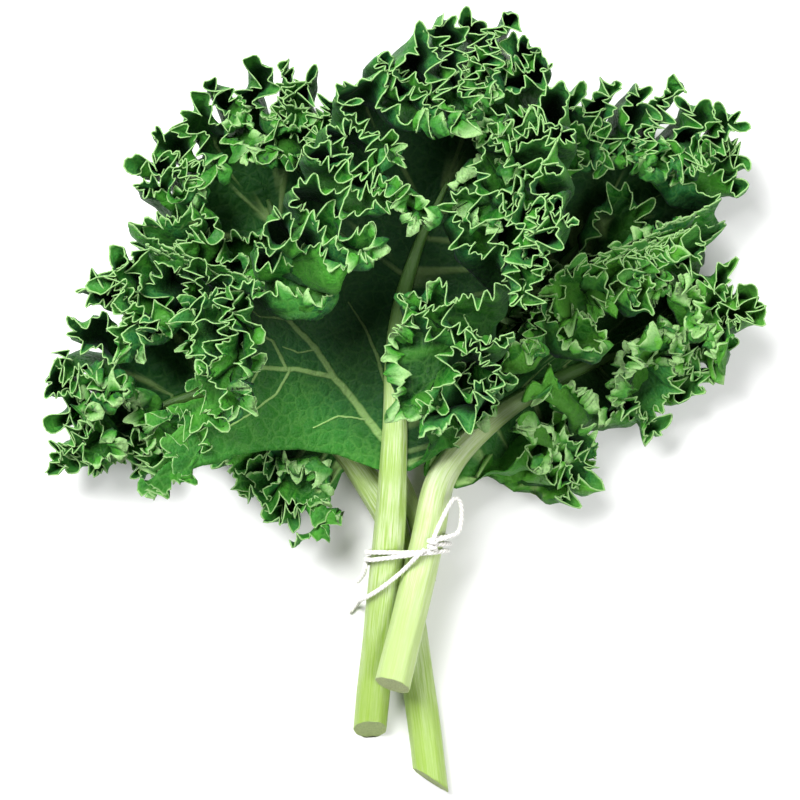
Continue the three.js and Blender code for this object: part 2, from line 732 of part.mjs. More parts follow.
function addPiece(name, geometry, color, roughness) {
  const material = new THREE.MeshStandardMaterial({ color, roughness, metalness: 0 });
  const mesh = new THREE.Mesh(geometry, material);
  mesh.name = name;
  bunch.add(mesh);
}

for (const [name, spec] of Object.entries(LEAVES)) {
  const leaf = new Leaf(name, spec);
  addPiece(`stalk_${name}`, stalkGeometry(leaf), STALK_GREEN, 0.5);
  addPiece(`blade_${name}`, bladeGeometry(leaf), LEAF_GREEN, 0.6);
}
addPiece('tie_string', tie(), STRING_WHITE, 0.8);
const tailRoute = smoothRoute(TAIL_ROUTE, TAIL.steps);
addPiece('string_tail', cordGeometry(tailRoute, TAIL.radius, TAIL.sides), STRING_WHITE, 0.8);

export default bunch;
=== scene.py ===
"""A bunch of curly kale tied with a white string, lying on a pale floor.

Every solid is replaced by a finer piece. A blade follows the formulas of its solid, with rounder crimps and
more frills along its margin, and it is lifted where its margin would hang over. Veins, fibres, hairs, plies
and colours are added here. Points are in mm, x and y from the tie and z from the table, until placed() makes
them metres of the model.
"""

import math

import bpy
import numpy as np
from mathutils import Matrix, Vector


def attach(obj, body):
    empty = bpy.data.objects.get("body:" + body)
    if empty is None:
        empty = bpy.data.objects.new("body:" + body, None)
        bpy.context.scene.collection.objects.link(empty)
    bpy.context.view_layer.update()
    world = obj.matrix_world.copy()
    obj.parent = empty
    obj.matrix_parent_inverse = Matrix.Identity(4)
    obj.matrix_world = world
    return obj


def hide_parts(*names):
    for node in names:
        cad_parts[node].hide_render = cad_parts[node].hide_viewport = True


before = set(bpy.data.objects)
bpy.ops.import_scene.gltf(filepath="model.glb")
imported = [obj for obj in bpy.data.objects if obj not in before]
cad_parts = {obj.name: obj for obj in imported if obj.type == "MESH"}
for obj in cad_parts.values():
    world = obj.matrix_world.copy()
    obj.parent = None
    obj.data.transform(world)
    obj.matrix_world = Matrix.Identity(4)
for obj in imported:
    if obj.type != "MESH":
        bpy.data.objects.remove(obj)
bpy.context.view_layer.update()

MM = 0.001

# ---- sizes, as in the solids, in mm and degrees ----

# The model's origin, from the tie.
ORIGIN = {"x": -0.8, "y": 68.3}
BLADE = {"ribGap": 1.1, "tipGap": 3.5, "turnAtTip": 0.08, "leastWidth": 4, "mostFlat": 0.95}
# The deep folds: a wave's length along the margin, its reach, how deep into the blade it goes, how soon it is
# full, how far it leans up and to the tip, how far its walls swell, how far the margin strays outwards, how
# many degrees its slope strays, and how much the folds' spacing and reach differ.
FOLD = {"wave": 19, "reach": 20, "depth": 52, "full": 1.3, "lean": 1.28, "tipward": 0.24, "swell": 3,
        "lift": 4, "tilt": 14, "uneven": 0.8, "varied": 0.22}
# The crimps of the margin. They are less pointed than in the solids, and so rounder.
CRIMP = {"column": 8.1, "reach": 3.4, "depth": 12, "tooth": 1.8, "uneven": 0.28, "varied": 0.35,
         "pointed": 0.25}
ZIGZAG = 0.985
STIR = 1.8
# The room over which a leaf is squeezed, its gap to the next, and its least height over the table, with the
# room and the sink for that.
PRESS = {"room": 4, "gap": 3, "table": 0.5, "tableRoom": 2, "sink": 0.05}
STRING = {"radius": 1.15, "clear": 0.6}
# The windings: their first bearing and y, their pitch, how much they slant about a middle x, the steps of a
# turn, and a stalk's slanting section as a share of its radius.
WINDING = {"turns": 2.72, "from": 72, "top": 6.2, "pitch": 3.5, "slant": 0.15, "middle": 8, "steps": 14,
           "section": 1.05}
SHORT_TAIL = [(-20.5, -11.5, 27), (-23.5, -15.5, 22.5)]
KNOT = {"centre": (13.4, 4.2, 46.2), "coil": 1.7, "turns": 1.75, "length": 4.6, "points": 41}
BOW = [
    (13.4, 5.5, 46.2), (17.5, 15, 45.6), (23, 25.2, 43.6), (26.5, 26, 42), (28, 20, 41),
    (26.5, 10.5, 41.5), (20.5, 7.5, 43.6), (15, 6, 45.8),
]
TAIL = {"radius": 1.15}
TAIL_ROUTE = [
    (9.8, 1.8, 47.7), (5.4, -2.3, 46.6), (0.5, -7.6, 42.2), (-5.5, -13, 39.2), (-12.5, -18.4, 37.6),
    (-19.2, -22.8, 32.8), (-22, -24.6, 24), (-22.4, -25.4, 14.5), (-22.8, -26.4, 6.5),
    (-24.6, -28.8, 2), (-28, -32.2, 1.2),
]
# A leaf's midline is points with a radius. left and right are stations of its blade, from foot to tip: how
# far along the bladed midrib, the angle from it, the width, the slopes at the midrib and at the margin, the
# share that is flat, the share of the folds' reach, and how far the strip turns on its way out.
LEAVES = {
    "top": {
        "seed": 3, "cut": (0.1, 0.95), "bladeFrom": 0.48,
        "midline": [
            (-17.5, -90.5, 7.8, 8.5), (-8.5, 0, 31.5, 8.2), (-5, 56, 41, 6.5), (-4, 109, 48, 4.6),
            (5, 146, 53, 3), (16, 171, 53, 1.6), (21, 181, 52, 1.2),
        ],
        "left": [
            (0, 66, 112, 0, 40, 0.75, 0.15, 34), (0.01, 62, 118, 0, 60, 0.72, 0.5, 34),
            (0.02, 56, 116, 0, 70, 0.68, 0.6, 26), (0.05, 53, 114, 0, 78, 0.66, 0.7, 16),
            (0.14, 56, 118, 0, 84, 0.62, 0.85, 8), (0.28, 62, 118, 0, 86, 0.56, 1.05, 2),
            (0.44, 68, 112, 0, 96, 0.38, 1.2, 0), (0.65, 72, 116, 0, 112, 0.18, 1.3, 0),
            (0.85, 66, 118, 0, 118, 0.2, 1.2, 0), (1, 0, 110, 0, 124, 0.2, 1.1, 0),
        ],
        "right": [
            (0, 60, 34, 0, 92, 0.1, 0.6, 0), (0.08, 68, 72, 0, 98, 0.1, 1.1, 0),
            (0.25, 70, 98, 0, 102, 0.1, 1.3, 0), (0.45, 66, 106, 0, 104, 0.12, 1.3, 0),
            (0.65, 70, 116, 0, 112, 0.14, 1.3, 0), (0.85, 66, 118, 0, 118, 0.2, 1.2, 0),
            (1, 0, 110, 0, 124, 0.2, 1.1, 0),
        ],
    },
    "left": {
        "seed": 12, "cut": (-0.85, 0.3), "bladeFrom": 0.58,
        "midline": [
            (13, -116, 7.4, 8.5), (7.5, -72, 7.6, 8.4), (-3.5, 0, 14.2, 8), (-14, 27, 16.5, 7.5),
            (-46, 66, 11.5, 5.6), (-86, 80, 6.5, 4), (-114, 75, 5, 2.4), (-130, 68, 4.5, 1.2),
        ],
        "left": [
            (0, 118, 50, -10, 70, 0.2, 0.5, 0), (0.12, 104, 65, -28, 92, 0.2, 0.9, 0),
            (0.3, 84, 63, -28, 92, 0.2, 1.1, 0), (0.55, 72, 48, -20, 92, 0.2, 0.8, 0),
            (0.8, 60, 55, -10, 96, 0.2, 0.9, 0), (1, 0, 63, -5, 96, 0.25, 0.8, 0),
        ],
        "right": [
            (0, 50, 34, 0, 80, 0.1, 0.3, 0), (0.2, 62, 82, 0, 96, 0.12, 0.9, 0),
            (0.45, 68, 97, 0, 100, 0.14, 1.3, 0), (0.75, 64, 97, 0, 100, 0.22, 1.05, 0),
            (1, 0, 63, -5, 96, 0.25, 0.8, 0),
        ],
    },
    "upper_left": {
        "seed": 17, "cut": (0, 0), "bladeFrom": 0.48,
        "midline": [
            (11.6, -16, 15.6, 4.3), (9.2, 0, 17.6, 4.2), (1.5, 27, 16, 4.2), (-16, 62, 11, 4),
            (-41, 114, 6, 3.4), (-62, 157, 5, 2.2), (-69, 176, 5, 1.2),
        ],
        "left": [
            (0, 60, 54, -12, 84, 0.1, 0.7, 0), (0.25, 72, 94, -22, 96, 0.16, 1.3, 0),
            (0.5, 74, 103, -20, 100, 0.18, 1.1, 0), (0.75, 68, 101, -10, 100, 0.24, 0.9, 0),
            (1, 0, 86, -5, 100, 0.24, 0.85, 0),
        ],
        "right": [
            (0, 50, 44, 0, 92, 0.1, 0.3, 0), (0.25, 62, 71, 0, 96, 0.1, 0.4, 0),
            (0.5, 66, 94, 0, 100, 0.14, 0.8, 0), (0.75, 66, 103, 0, 100, 0.22, 1.05, 0),
            (1, 0, 86, -5, 100, 0.24, 0.85, 0),
        ],
    },
    "upper_right": {
        "seed": 31, "cut": (0, 0), "bladeFrom": 0.45,
        "midline": [
            (11.6, -16, 6.8, 4.3), (10, 0, 8.7, 4.2), (15, 27, 9.5, 4.2), (26, 64, 8, 4),
            (56, 116, 5.5, 3.4), (92, 156, 4.5, 2.2), (107, 171, 4.5, 1.2),
        ],
        "left": [
            (0, 50, 44, 0, 92, 0.1, 0.3, 0), (0.25, 62, 71, 0, 96, 0.1, 0.4, 0),
            (0.5, 70, 97, 0, 100, 0.14, 0.8, 0), (0.75, 66, 103, 0, 100, 0.22, 1.05, 0),
            (1, 0, 84, -5, 100, 0.24, 0.85, 0),
        ],
        "right": [
            (0, 60, 40, -20, 84, 0.1, 0.9, 0), (0.25, 60, 65, -22, 90, 0.12, 1.1, 0),
            (0.5, 66, 92, -20, 96, 0.16, 1.2, 0), (0.75, 68, 103, -10, 98, 0.24, 1.05, 0),
            (1, 0, 84, -5, 100, 0.24, 0.85, 0),
        ],
    },
    "right": {
        "seed": 41, "cut": (-0.1, 0.4), "bladeFrom": 0.44,
        "midline": [
            (-6, -66, 34.5, 9), (10, 0, 34.4, 8.6), (19, 38, 31, 7.5), (45, 66, 22, 5.6),
            (80, 87, 10.5, 3.8), (108, 98, 5, 2.2), (122, 102, 4.5, 1.2),
        ],
        "left": [
            (0, 60, 40, 0, 80, 0.1, 0.4, 0), (0.2, 68, 76, 0, 98, 0.1, 1.2, 0),
            (0.5, 72, 97, 0, 98, 0.14, 1.3, 0), (0.8, 68, 99, 0, 96, 0.26, 1.05, 0),
            (1, 0, 69, -5, 96, 0.22, 0.8, 0),
        ],
        "right": [
            (0, 50, 36, -10, 84, 0.2, 0.6, 0), (0.15, 76, 63, -25, 88, 0.35, 0.8, 0),
            (0.35, 76, 69, -30, 92, 0.3, 1, 0), (0.6, 70, 61, -28, 92, 0.2, 1.1, 0),
            (0.8, 58, 59, -15, 96, 0.2, 1.05, 0), (1, 0, 69, -5, 96, 0.22, 0.8, 0),
        ],
    },
}
# The borders between leaves, as bearings at every BORDER_STEP mm from the tie. They lean by slant about a
# level, which sets in over SLANT_EASE mm.
BORDER_STEP = 40
SLANT_EASE = {"over": 110, "from": 0.45}
BORDERS = {
    "left_and_upper_left": {"bearings": (107, 113.5, 123, 131, 136, 138), "slant": -0.8, "level": 22},
    "upper_left_and_upper_right": {"bearings": (88,) * 6, "slant": 0, "level": 0},
    "upper_right_and_right": {"bearings": (82, 62.5, 55, 49, 45, 42), "slant": 0.8, "level": 22},
}
CELLS = {
    "left": {"above": "left_and_upper_left"},
    "upper_left": {"above": "upper_left_and_upper_right", "below": "left_and_upper_left"},
    "upper_right": {"above": "upper_right_and_right", "below": "upper_left_and_upper_right"},
    "right": {"below": "upper_right_and_right"},
}
# The trough that the top leaf lies in, with the other leaves below it.
TROUGH = {"under": 5.5, "flat": 20, "rise": 0.5}

# ---- numbers ----


def smooth(x):
    """A soft step from 0 to 1, as x goes from 0 to 1."""
    t = np.clip(x, 0, 1)
    return t * t * (3 - 2 * t)


def unit(v):
    """Vectors made 1 long."""
    return v / np.maximum(np.linalg.norm(v, axis=-1, keepdims=True), 1e-9)


def scaled(v, k):
    """Vectors, each times its own number."""
    return v * np.asarray(k)[..., None]


def spline(points, x):
    """A smooth curve through points that are evenly spaced along x, one apart."""
    points = np.asarray(points, float)
    last = len(points) - 1
    ends = np.vstack([2 * points[0] - points[1], points, 2 * points[-1] - points[-2]])
    x = np.clip(np.asarray(x, float), 0, last)
    i = np.minimum(x.astype(int), last - 1)
    f = (x - i)[..., None]
    a, b, c, d = ends[i], ends[i + 1], ends[i + 2], ends[i + 3]
    return 0.5 * (2 * b + (c - a) * f + (2 * a - 5 * b + 4 * c - d) * f**2
                  + (3 * b - a - 3 * c + d) * f**3)


def running_lengths(line):
    """How far along a line each of its points is."""
    return np.concatenate([[0], np.cumsum(np.linalg.norm(np.diff(line, axis=0), axis=1))])


DRAW_FACTOR = 16807
DRAW_MODULUS = 2147483647


def drawer(seed):
    """Seeded draws from 0 to 1. The first five are thrown away."""
    state = seed
    for _ in range(5):
        state = state * DRAW_FACTOR % DRAW_MODULUS
    while True:
        state = state * DRAW_FACTOR % DRAW_MODULUS
        yield state / DRAW_MODULUS


def wobble(seed):
    """A seeded, smooth, uneven wave of x, mostly from -1 to 1."""
    draw = drawer(seed)
    terms = []
    for k in range(4):
        rate = 1 + 0.75 * k + 0.4 * next(draw)
        terms.append((rate, 2 * math.pi * next(draw), 1 / (1 + 0.35 * k)))
    whole = 0.6 * sum(size for _, _, size in terms)
    return lambda x: sum(size * np.sin(rate * x + shift) for rate, shift, size in terms) / whole


# ---- a leaf, as in its solids but for the pointedness of its crimps ----

RIB_STEPS = 600
MARGIN_STEPS = 4000
# The steps along the margin and outwards over which directions are measured.
PLACE_STEP = 0.0004
OUT_STEP = 0.01


class Leaf:
    """A leaf's midrib, and its blade as a surface that a place along its margin and a share out span."""

    def __init__(self, name, spec):
        self.name, self.spec = name, spec
        midline = np.array(spec["midline"], float)
        self.rib = spline(midline, np.linspace(0, len(midline) - 1, RIB_STEPS + 1))
        self.rib_length = np.linalg.norm(np.diff(self.rib[:, :3], axis=0), axis=1).sum()
        self.rib_shares = running_lengths(self.rib[:, :3]) / self.rib_length
        self.rib_ways = unit(np.gradient(self.rib[:, :3], axis=0))
        seed = spec["seed"]
        self.tilt = wobble(seed * 31 + 8)
        self.phase = wobble(seed * 7 + 1)
        self.reach = wobble(seed * 11 + 2)
        self.lift = wobble(seed * 13 + 3)
        self.step = wobble(seed * 17 + 4)
        self.crimp = wobble(seed * 19 + 5)
        self.places = np.linspace(0, 1, MARGIN_STEPS + 1)
        margin = np.ones_like(self.places)
        self.plain = running_lengths(self.base(self.places, margin))
        self.folded = running_lengths(self.folds(self.places, margin))
        self.columns = 8 * int(self.folded[-1] / CRIMP["column"] / 8 + 0.5)

    def rib_at(self, share):
        """The midline's centre, direction and radius, at a share of its length."""
        rib = np.stack([np.interp(share, self.rib_shares, self.rib[:, k]) for k in range(4)], -1)
        way = np.stack([np.interp(share, self.rib_shares, self.rib_ways[:, k]) for k in range(3)], -1)
        return rib[..., :3], unit(way), rib[..., 3]

    def station(self, place):
        """The numbers of the stations, drawn smoothly from one to the next."""
        from_foot = 1 - np.abs(2 * place - 1)
        left, right = self.spec["left"], self.spec["right"]
        return np.where((place < 0.5)[..., None], spline(left, from_foot * (len(left) - 1)),
                        spline(right, from_foot * (len(right) - 1)))

    def width_at(self, place):
        return np.maximum(self.station(place)[..., 2], BLADE["leastWidth"])

    def base(self, place, out):
        """The unfolded strip. place goes from 0 at the left foot, over 0.5 at the tip, to 1 at the right
        foot, and out from 0 at the midrib to 1 at the margin."""
        row = self.station(place)
        along, angle, width, slope0, slope1, flat_share, _, sweep = [row[..., k] for k in range(8)]
        width = np.maximum(width, BLADE["leastWidth"])
        start = self.spec["bladeFrom"]
        centre, way, radius = self.rib_at(start + (1 - start) * np.clip(along, 0, 1))
        up = unit(np.array([0, 0, 1.0]) - scaled(way, way[..., 2]))
        side = np.cross(up, way)
        turn = np.radians(angle + sweep * out)
        hand = np.where(place < 0.5, 1.0, -1.0)
        outward = scaled(way, np.cos(turn)) + scaled(side, hand * np.sin(turn))

        flat = np.clip(flat_share, 0, BLADE["mostFlat"]) * width
        run = out * width
        straight = np.minimum(run, flat)
        a0 = np.radians(slope0)
        a1 = np.radians(slope1 + FOLD["tilt"] * self.tilt(place * 26))
        bend = (a1 - a0) / (width - flat)
        bend = np.where(np.abs(bend) < 1e-5, 1e-5, bend)
        a = a0 + bend * np.maximum(run - flat, 0)
        x = straight * np.cos(a0) + (np.sin(a) - np.sin(a0)) / bend
        z = straight * np.sin(a0) + (np.cos(a0) - np.cos(a)) / bend
        beside = smooth((1 - along) / BLADE["turnAtTip"])
        root = np.radians(90 * beside)
        root_way = scaled(way, np.cos(root)) + scaled(side, hand * np.sin(root))
        gap = BLADE["tipGap"] + beside * (BLADE["ribGap"] - BLADE["tipGap"])
        foot = centre + scaled(root_way, radius + gap)
        return foot + scaled(outward, x) + scaled(up + FOLD["tipward"] * way, z)

    def directions(self, surface, place, out):
        """The directions along the margin, away from the midrib and square to both, on a surface."""
        ahead = surface(np.clip(place + PLACE_STEP, 0, 1), out)
        behind = surface(np.clip(place - PLACE_STEP, 0, 1), out)
        outer = surface(place, np.minimum(out + OUT_STEP, 1))
        inner = surface(place, np.maximum(out - OUT_STEP, 0))
        along, away = unit(ahead - behind), unit(outer - inner)
        return along, away, unit(np.cross(along, away))

    def folds(self, place, out):
        """The strip with its deep folds."""
        place = np.clip(place, 0, 1)
        row = self.station(place)
        width, share = np.maximum(row[..., 2], BLADE["leastWidth"]), np.maximum(row[..., 6], 0)
        length = np.interp(place, self.places, self.plain)
        waves = length / FOLD["wave"]
        edge = smooth(FOLD["full"] * (1 - (1 - out) * width / np.minimum(FOLD["depth"], width)))
        ends = smooth(np.minimum(length, self.plain[-1] - length) / (0.5 * FOLD["wave"]))
        angle = 2 * math.pi * waves + FOLD["uneven"] * self.phase(waves * 1.2)
        reach = FOLD["reach"] * share * (1 + FOLD["varied"] * self.reach(waves * 1.1))
        along, away, square = self.directions(self.base, place, out)
        point = self.base(place, out)
        point = point + scaled(square, edge * ends * reach * (np.sin(angle) + FOLD["lean"]))
        point = point - scaled(along, edge * ends * share * FOLD["swell"] * np.sin(2 * angle))
        point = point + scaled(away, edge * FOLD["lift"] * self.lift(length / 24))
        return stir(point, edge * STIR)

    def place_of(self, column):
        """The place on the strip of a column of the margin, which may be a fraction."""
        ends = smooth(np.minimum(column, self.columns - column) / 4)
        even = column + CRIMP["uneven"] * self.step(column * 0.55) * ends
        return np.interp(even / self.columns * self.folded[-1], self.folded, self.places)

    def crimped(self, column, out):
        """The folded strip with its crimped margin, rounder than in the solids."""
        place = self.place_of(np.clip(column, 0, self.columns))
        edge = smooth(1 - (1 - out) * self.width_at(place) / CRIMP["depth"])
        point = self.folds(place, out)
        at = edge > 0
        if at.any():
            _, away, square = self.directions(self.folds, place[at], out[at])
            wave = pointed(math.pi * column[at], CRIMP["pointed"])
            reach = CRIMP["reach"] * (1 + CRIMP["varied"] * self.crimp(column[at] * 0.7))
            point[at] += scaled(square, edge[at] * reach * wave)
            point[at] += scaled(away, edge[at] * CRIMP["tooth"] * (np.abs(wave) ** 1.5 - 0.4))
        return point


def pointed(angle, share):
    """A cosine wave, partly straightened into a zigzag whose tips stay a little round."""
    wave = np.cos(angle)
    return (1 - share) * wave + share * np.arcsin(ZIGZAG * wave) / math.asin(ZIGZAG)


def stir(point, reach):
    """Moves neighbouring folds together out of their straight rows."""
    x, y, z = point[..., 0], point[..., 1], point[..., 2]
    return point + scaled(np.stack([
        np.sin(0.23 * y + 0.05 * x + 1.3) + 0.7 * np.sin(0.41 * y - 0.17 * x + 0.7),
        np.sin(0.21 * x - 0.07 * y + 2.1) + 0.7 * np.sin(0.37 * x + 0.19 * y + 4),
        np.sin(0.17 * x + 0.19 * y),
    ], -1), reach)


def squeeze(distance, room):
    """A distance that may not fall below 0: short ones are squeezed, so that their order stays."""
    return np.where(distance > room, distance, room * np.exp(np.minimum((distance - room) / room, 0)))


def trough_at(x, y):
    """The height of the trough."""
    midline = np.array(LEAVES["top"]["midline"], float)
    middle = spline(midline, np.interp(y, midline[:, 1], np.arange(len(midline))))
    beside = np.maximum(np.abs(x - middle[..., 0]) - TROUGH["flat"], 0)
    return middle[..., 2] - TROUGH["under"] + TROUGH["rise"] * beside


def beyond(name, distance, bearing, z):
    """How far a point lies beyond a border, towards greater bearings."""
    border = BORDERS[name]
    bearings = np.array(border["bearings"], float)[:, None]
    at = np.radians(spline(bearings, distance / BORDER_STEP - 1)[..., 0])
    ease = smooth(distance / SLANT_EASE["over"] - SLANT_EASE["from"])
    return (bearing - at) * distance - ease * border["slant"] * (z - border["level"])


def press(name, point):
    """Keeps a leaf over the table, within its borders, and above or below the trough."""
    x, y, z = point[..., 0], point[..., 1], point[..., 2]
    room, table, half = PRESS["room"], PRESS["table"], PRESS["gap"] / 2
    cell = CELLS.get(name)
    if cell:
        roof = trough_at(x, y) - half
        z = roof - squeeze(roof - z, room)
        distance = np.hypot(x, y)
        bearing = np.arctan2(y, x)
        bearing = np.where(bearing < -math.pi / 2, bearing + 2 * math.pi, bearing)
        if "above" in cell:
            at = beyond(cell["above"], distance, bearing, z) - half
            bearing = bearing + (squeeze(at, room) - at) / distance
        if "below" in cell:
            at = -beyond(cell["below"], distance, bearing, z) - half
            bearing = bearing - (squeeze(at, room) - at) / distance
        x, y = distance * np.cos(bearing), distance * np.sin(bearing)
        z = np.minimum(z, trough_at(x, y) - half)
    else:
        floor = trough_at(x, y) + half
        z = floor + squeeze(z - floor, room)
    z = table + np.maximum(squeeze(z - table, PRESS["tableRoom"]) - PRESS["sink"], 0)
    return np.stack([x, y, z], -1)


# ---- meshes ----

SHIFT = np.array([ORIGIN["x"], ORIGIN["y"], 0.0])


def placed(points):
    """Points round the tie, in mm, as points of the model, in metres."""
    return (np.asarray(points, float) - SHIFT) * MM


def new_object(name, data):
    made = bpy.data.objects.new(name, data)
    bpy.context.scene.collection.objects.link(made)
    return made


def mesh_object(name, points, faces, material, values, cad_node):
    """A piece in place of a CAD node, from points in mm and triangles, with values at its points for the
    material."""
    mesh = bpy.data.meshes.new(name)
    mesh.vertices.add(len(points))
    mesh.vertices.foreach_set("co", placed(points).astype(np.float32).ravel())
    mesh.loops.add(3 * len(faces))
    mesh.loops.foreach_set("vertex_index", faces.astype(np.int32).ravel())
    mesh.polygons.add(len(faces))
    mesh.polygons.foreach_set("loop_start", 3 * np.arange(len(faces), dtype=np.int32))
    mesh.polygons.foreach_set("loop_total", np.full(len(faces), 3, np.int32))
    mesh.update(calc_edges=True)
    mesh.polygons.foreach_set("use_smooth", np.ones(len(faces), bool))
    for key, value in values.items():
        layer = mesh.attributes.new(key, "FLOAT", "POINT")
        layer.data.foreach_set("value", np.asarray(value, np.float32).ravel())
    mesh.materials.append(material)
    piece = new_object(name, mesh)
    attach(piece, "root")
    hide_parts(cad_node)
    return piece


def sweep_frames(route):
    """Directions beside and above a route, carried on without a twist."""
    ways = unit(np.gradient(route, axis=0))
    side = np.cross(ways[0], [0, 0, 1.0] if abs(ways[0][2]) < 0.9 else [1.0, 0, 0])
    sides = []
    for way in ways:
        side = unit(side - way * np.dot(way, side))
        sides.append(side)
    sides = np.array(sides)
    return sides, np.cross(sides, ways)


def tube_faces(rings, sides):
    """The triangles of a tube of rings, closed at both ends."""
    ring = np.arange(rings - 1)[:, None] * sides
    a = (ring + np.arange(sides)[None]).ravel()
    b = (ring + (np.arange(sides)[None] + 1) % sides).ravel()
    faces = np.concatenate([np.stack([a, b, b + sides], 1), np.stack([a, b + sides, a + sides], 1)])
    s = np.arange(1, sides - 1)
    last = (rings - 1) * sides
    ends = [np.stack([0 * s, s + 1, s], 1), np.stack([last + 0 * s, last + s, last + s + 1], 1)]
    return np.concatenate([faces, *ends])


# ---- materials ----


def put(socket, value):
    """Gives an input of a node a value, or links it to another node's output."""
    if isinstance(value, bpy.types.NodeSocket):
        socket.id_data.links.new(value, socket)
    else:
        socket.default_value = value


def node_material(name):
    """A new material, with a function that adds a node, and one that sets inputs of its shader."""
    material = bpy.data.materials.new(name)
    material.use_nodes = True
    nodes = material.node_tree.nodes
    shader = nodes["Principled BSDF"]

    def node(kind, inputs=None, **settings):
        made = nodes.new("ShaderNode" + kind)
        for key, value in settings.items():
            setattr(made, key, value)
        for key, value in (inputs or {}).items():
            put(made.inputs[key], value)
        return made

    def give(inputs):
        for key, value in inputs.items():
            put(shader.inputs[key], value)

    return material, node, give


def carried(node, key):
    """A value that the points of the mesh carry."""
    return node("Attribute", attribute_name=key).outputs["Fac"]


def noise(node, place, scale, detail, output="Fac", **inputs):
    return node("TexNoise", {"Vector": place, "Scale": scale, "Detail": detail, **inputs}).outputs[output]


def cell_walls(node, place, scale):
    """The distance to the nearest wall of a net of cells."""
    cells = node("TexVoronoi", {"Vector": place, "Scale": scale}, feature="DISTANCE_TO_EDGE")
    return cells.outputs["Distance"]


def vector(node, operation, inputs, output="Vector"):
    return node("VectorMath", inputs, operation=operation).outputs[output]


def maths(node, operation, a, b, c=None, clamp=False):
    inputs = {0: a, 1: b} if c is None else {0: a, 1: b, 2: c}
    return node("Math", inputs, operation=operation, use_clamp=clamp).outputs[0]


def mixed(node, factor, a, b, blend="MIX"):
    """Two colours mixed, each given as three numbers or as a socket."""
    a, b = [(*colour, 1) if isinstance(colour, tuple) else colour for colour in (a, b)]
    return node("Mix", {"Factor": factor, 6: a, 7: b}, data_type="RGBA", blend_type=blend).outputs[2]


def span(node, value, low, high, to_low=0.0, to_high=1.0):
    """A value that goes smoothly from to_low to to_high, as another goes from low to high."""
    inputs = {"Value": value, "From Min": low, "From Max": high, "To Min": to_low, "To Max": to_high}
    return node("MapRange", inputs, interpolation_type="SMOOTHSTEP").outputs[0]


def bump(node, height, strength, distance):
    return node("Bump", {"Height": height, "Strength": strength, "Distance": distance}).outputs[0]


# A vein is full to the first of these shares of its half width, and gone at the second.
VEIN_FADE = (0.45, 1.5)


def on_lines(node, place, lines):
    """1 on any of some lines on the leaf, seen from above, each of points with a half width in mm."""
    level = vector(node, "MULTIPLY", {0: place, 1: (1, 1, 0)})
    on_any = None
    for line in lines:
        for (x0, y0, w0), (x1, y1, w1) in zip(line, line[1:]):
            a, b = placed((x0, y0, 0)), placed((x1, y1, 0))
            along = Vector((b - a).tolist())
            offset = vector(node, "SUBTRACT", {0: level, 1: Vector(a.tolist())})
            dot = vector(node, "DOT_PRODUCT", {0: offset, 1: along}, "Value")
            share = maths(node, "MULTIPLY", dot, 1 / along.length_squared, clamp=True)
            foot = vector(node, "SCALE", {0: along, "Scale": share})
            gap = vector(node, "DISTANCE", {0: offset, 1: foot}, "Value")
            width = maths(node, "MULTIPLY_ADD", share, (w1 - w0) * MM, w0 * MM)
            on_this = span(node, maths(node, "DIVIDE", gap, width), *VEIN_FADE, 1.0, 0.0)
            on_any = on_this if on_any is None else maths(node, "MAXIMUM", on_any, on_this)
    return on_any


# Colours of all leaves, linear. The rim colour is partly a pale margin and partly a painted highlight, the
# bloom is wax, and the net is fine veins.
PALE_RIM_HIGHLIGHT = (0.28, 0.47, 0.18)
BLOOM = (0.018, 0.100, 0.070)
NET = (0.13, 0.34, 0.06)
FINE_NET = (0.09, 0.27, 0.045)
VEIN = (0.33, 0.55, 0.17)
# How many waves or cells of each pattern fit in a metre, roughly.
LEAF_SCALES = {"drift": 190, "net": 150, "fine net": 420, "patches": 26, "grain": 900}
# How far the net and the drawn veins wander, in metres.
NET_WANDER = 0.0022
VEIN_WANDER = 0.0016


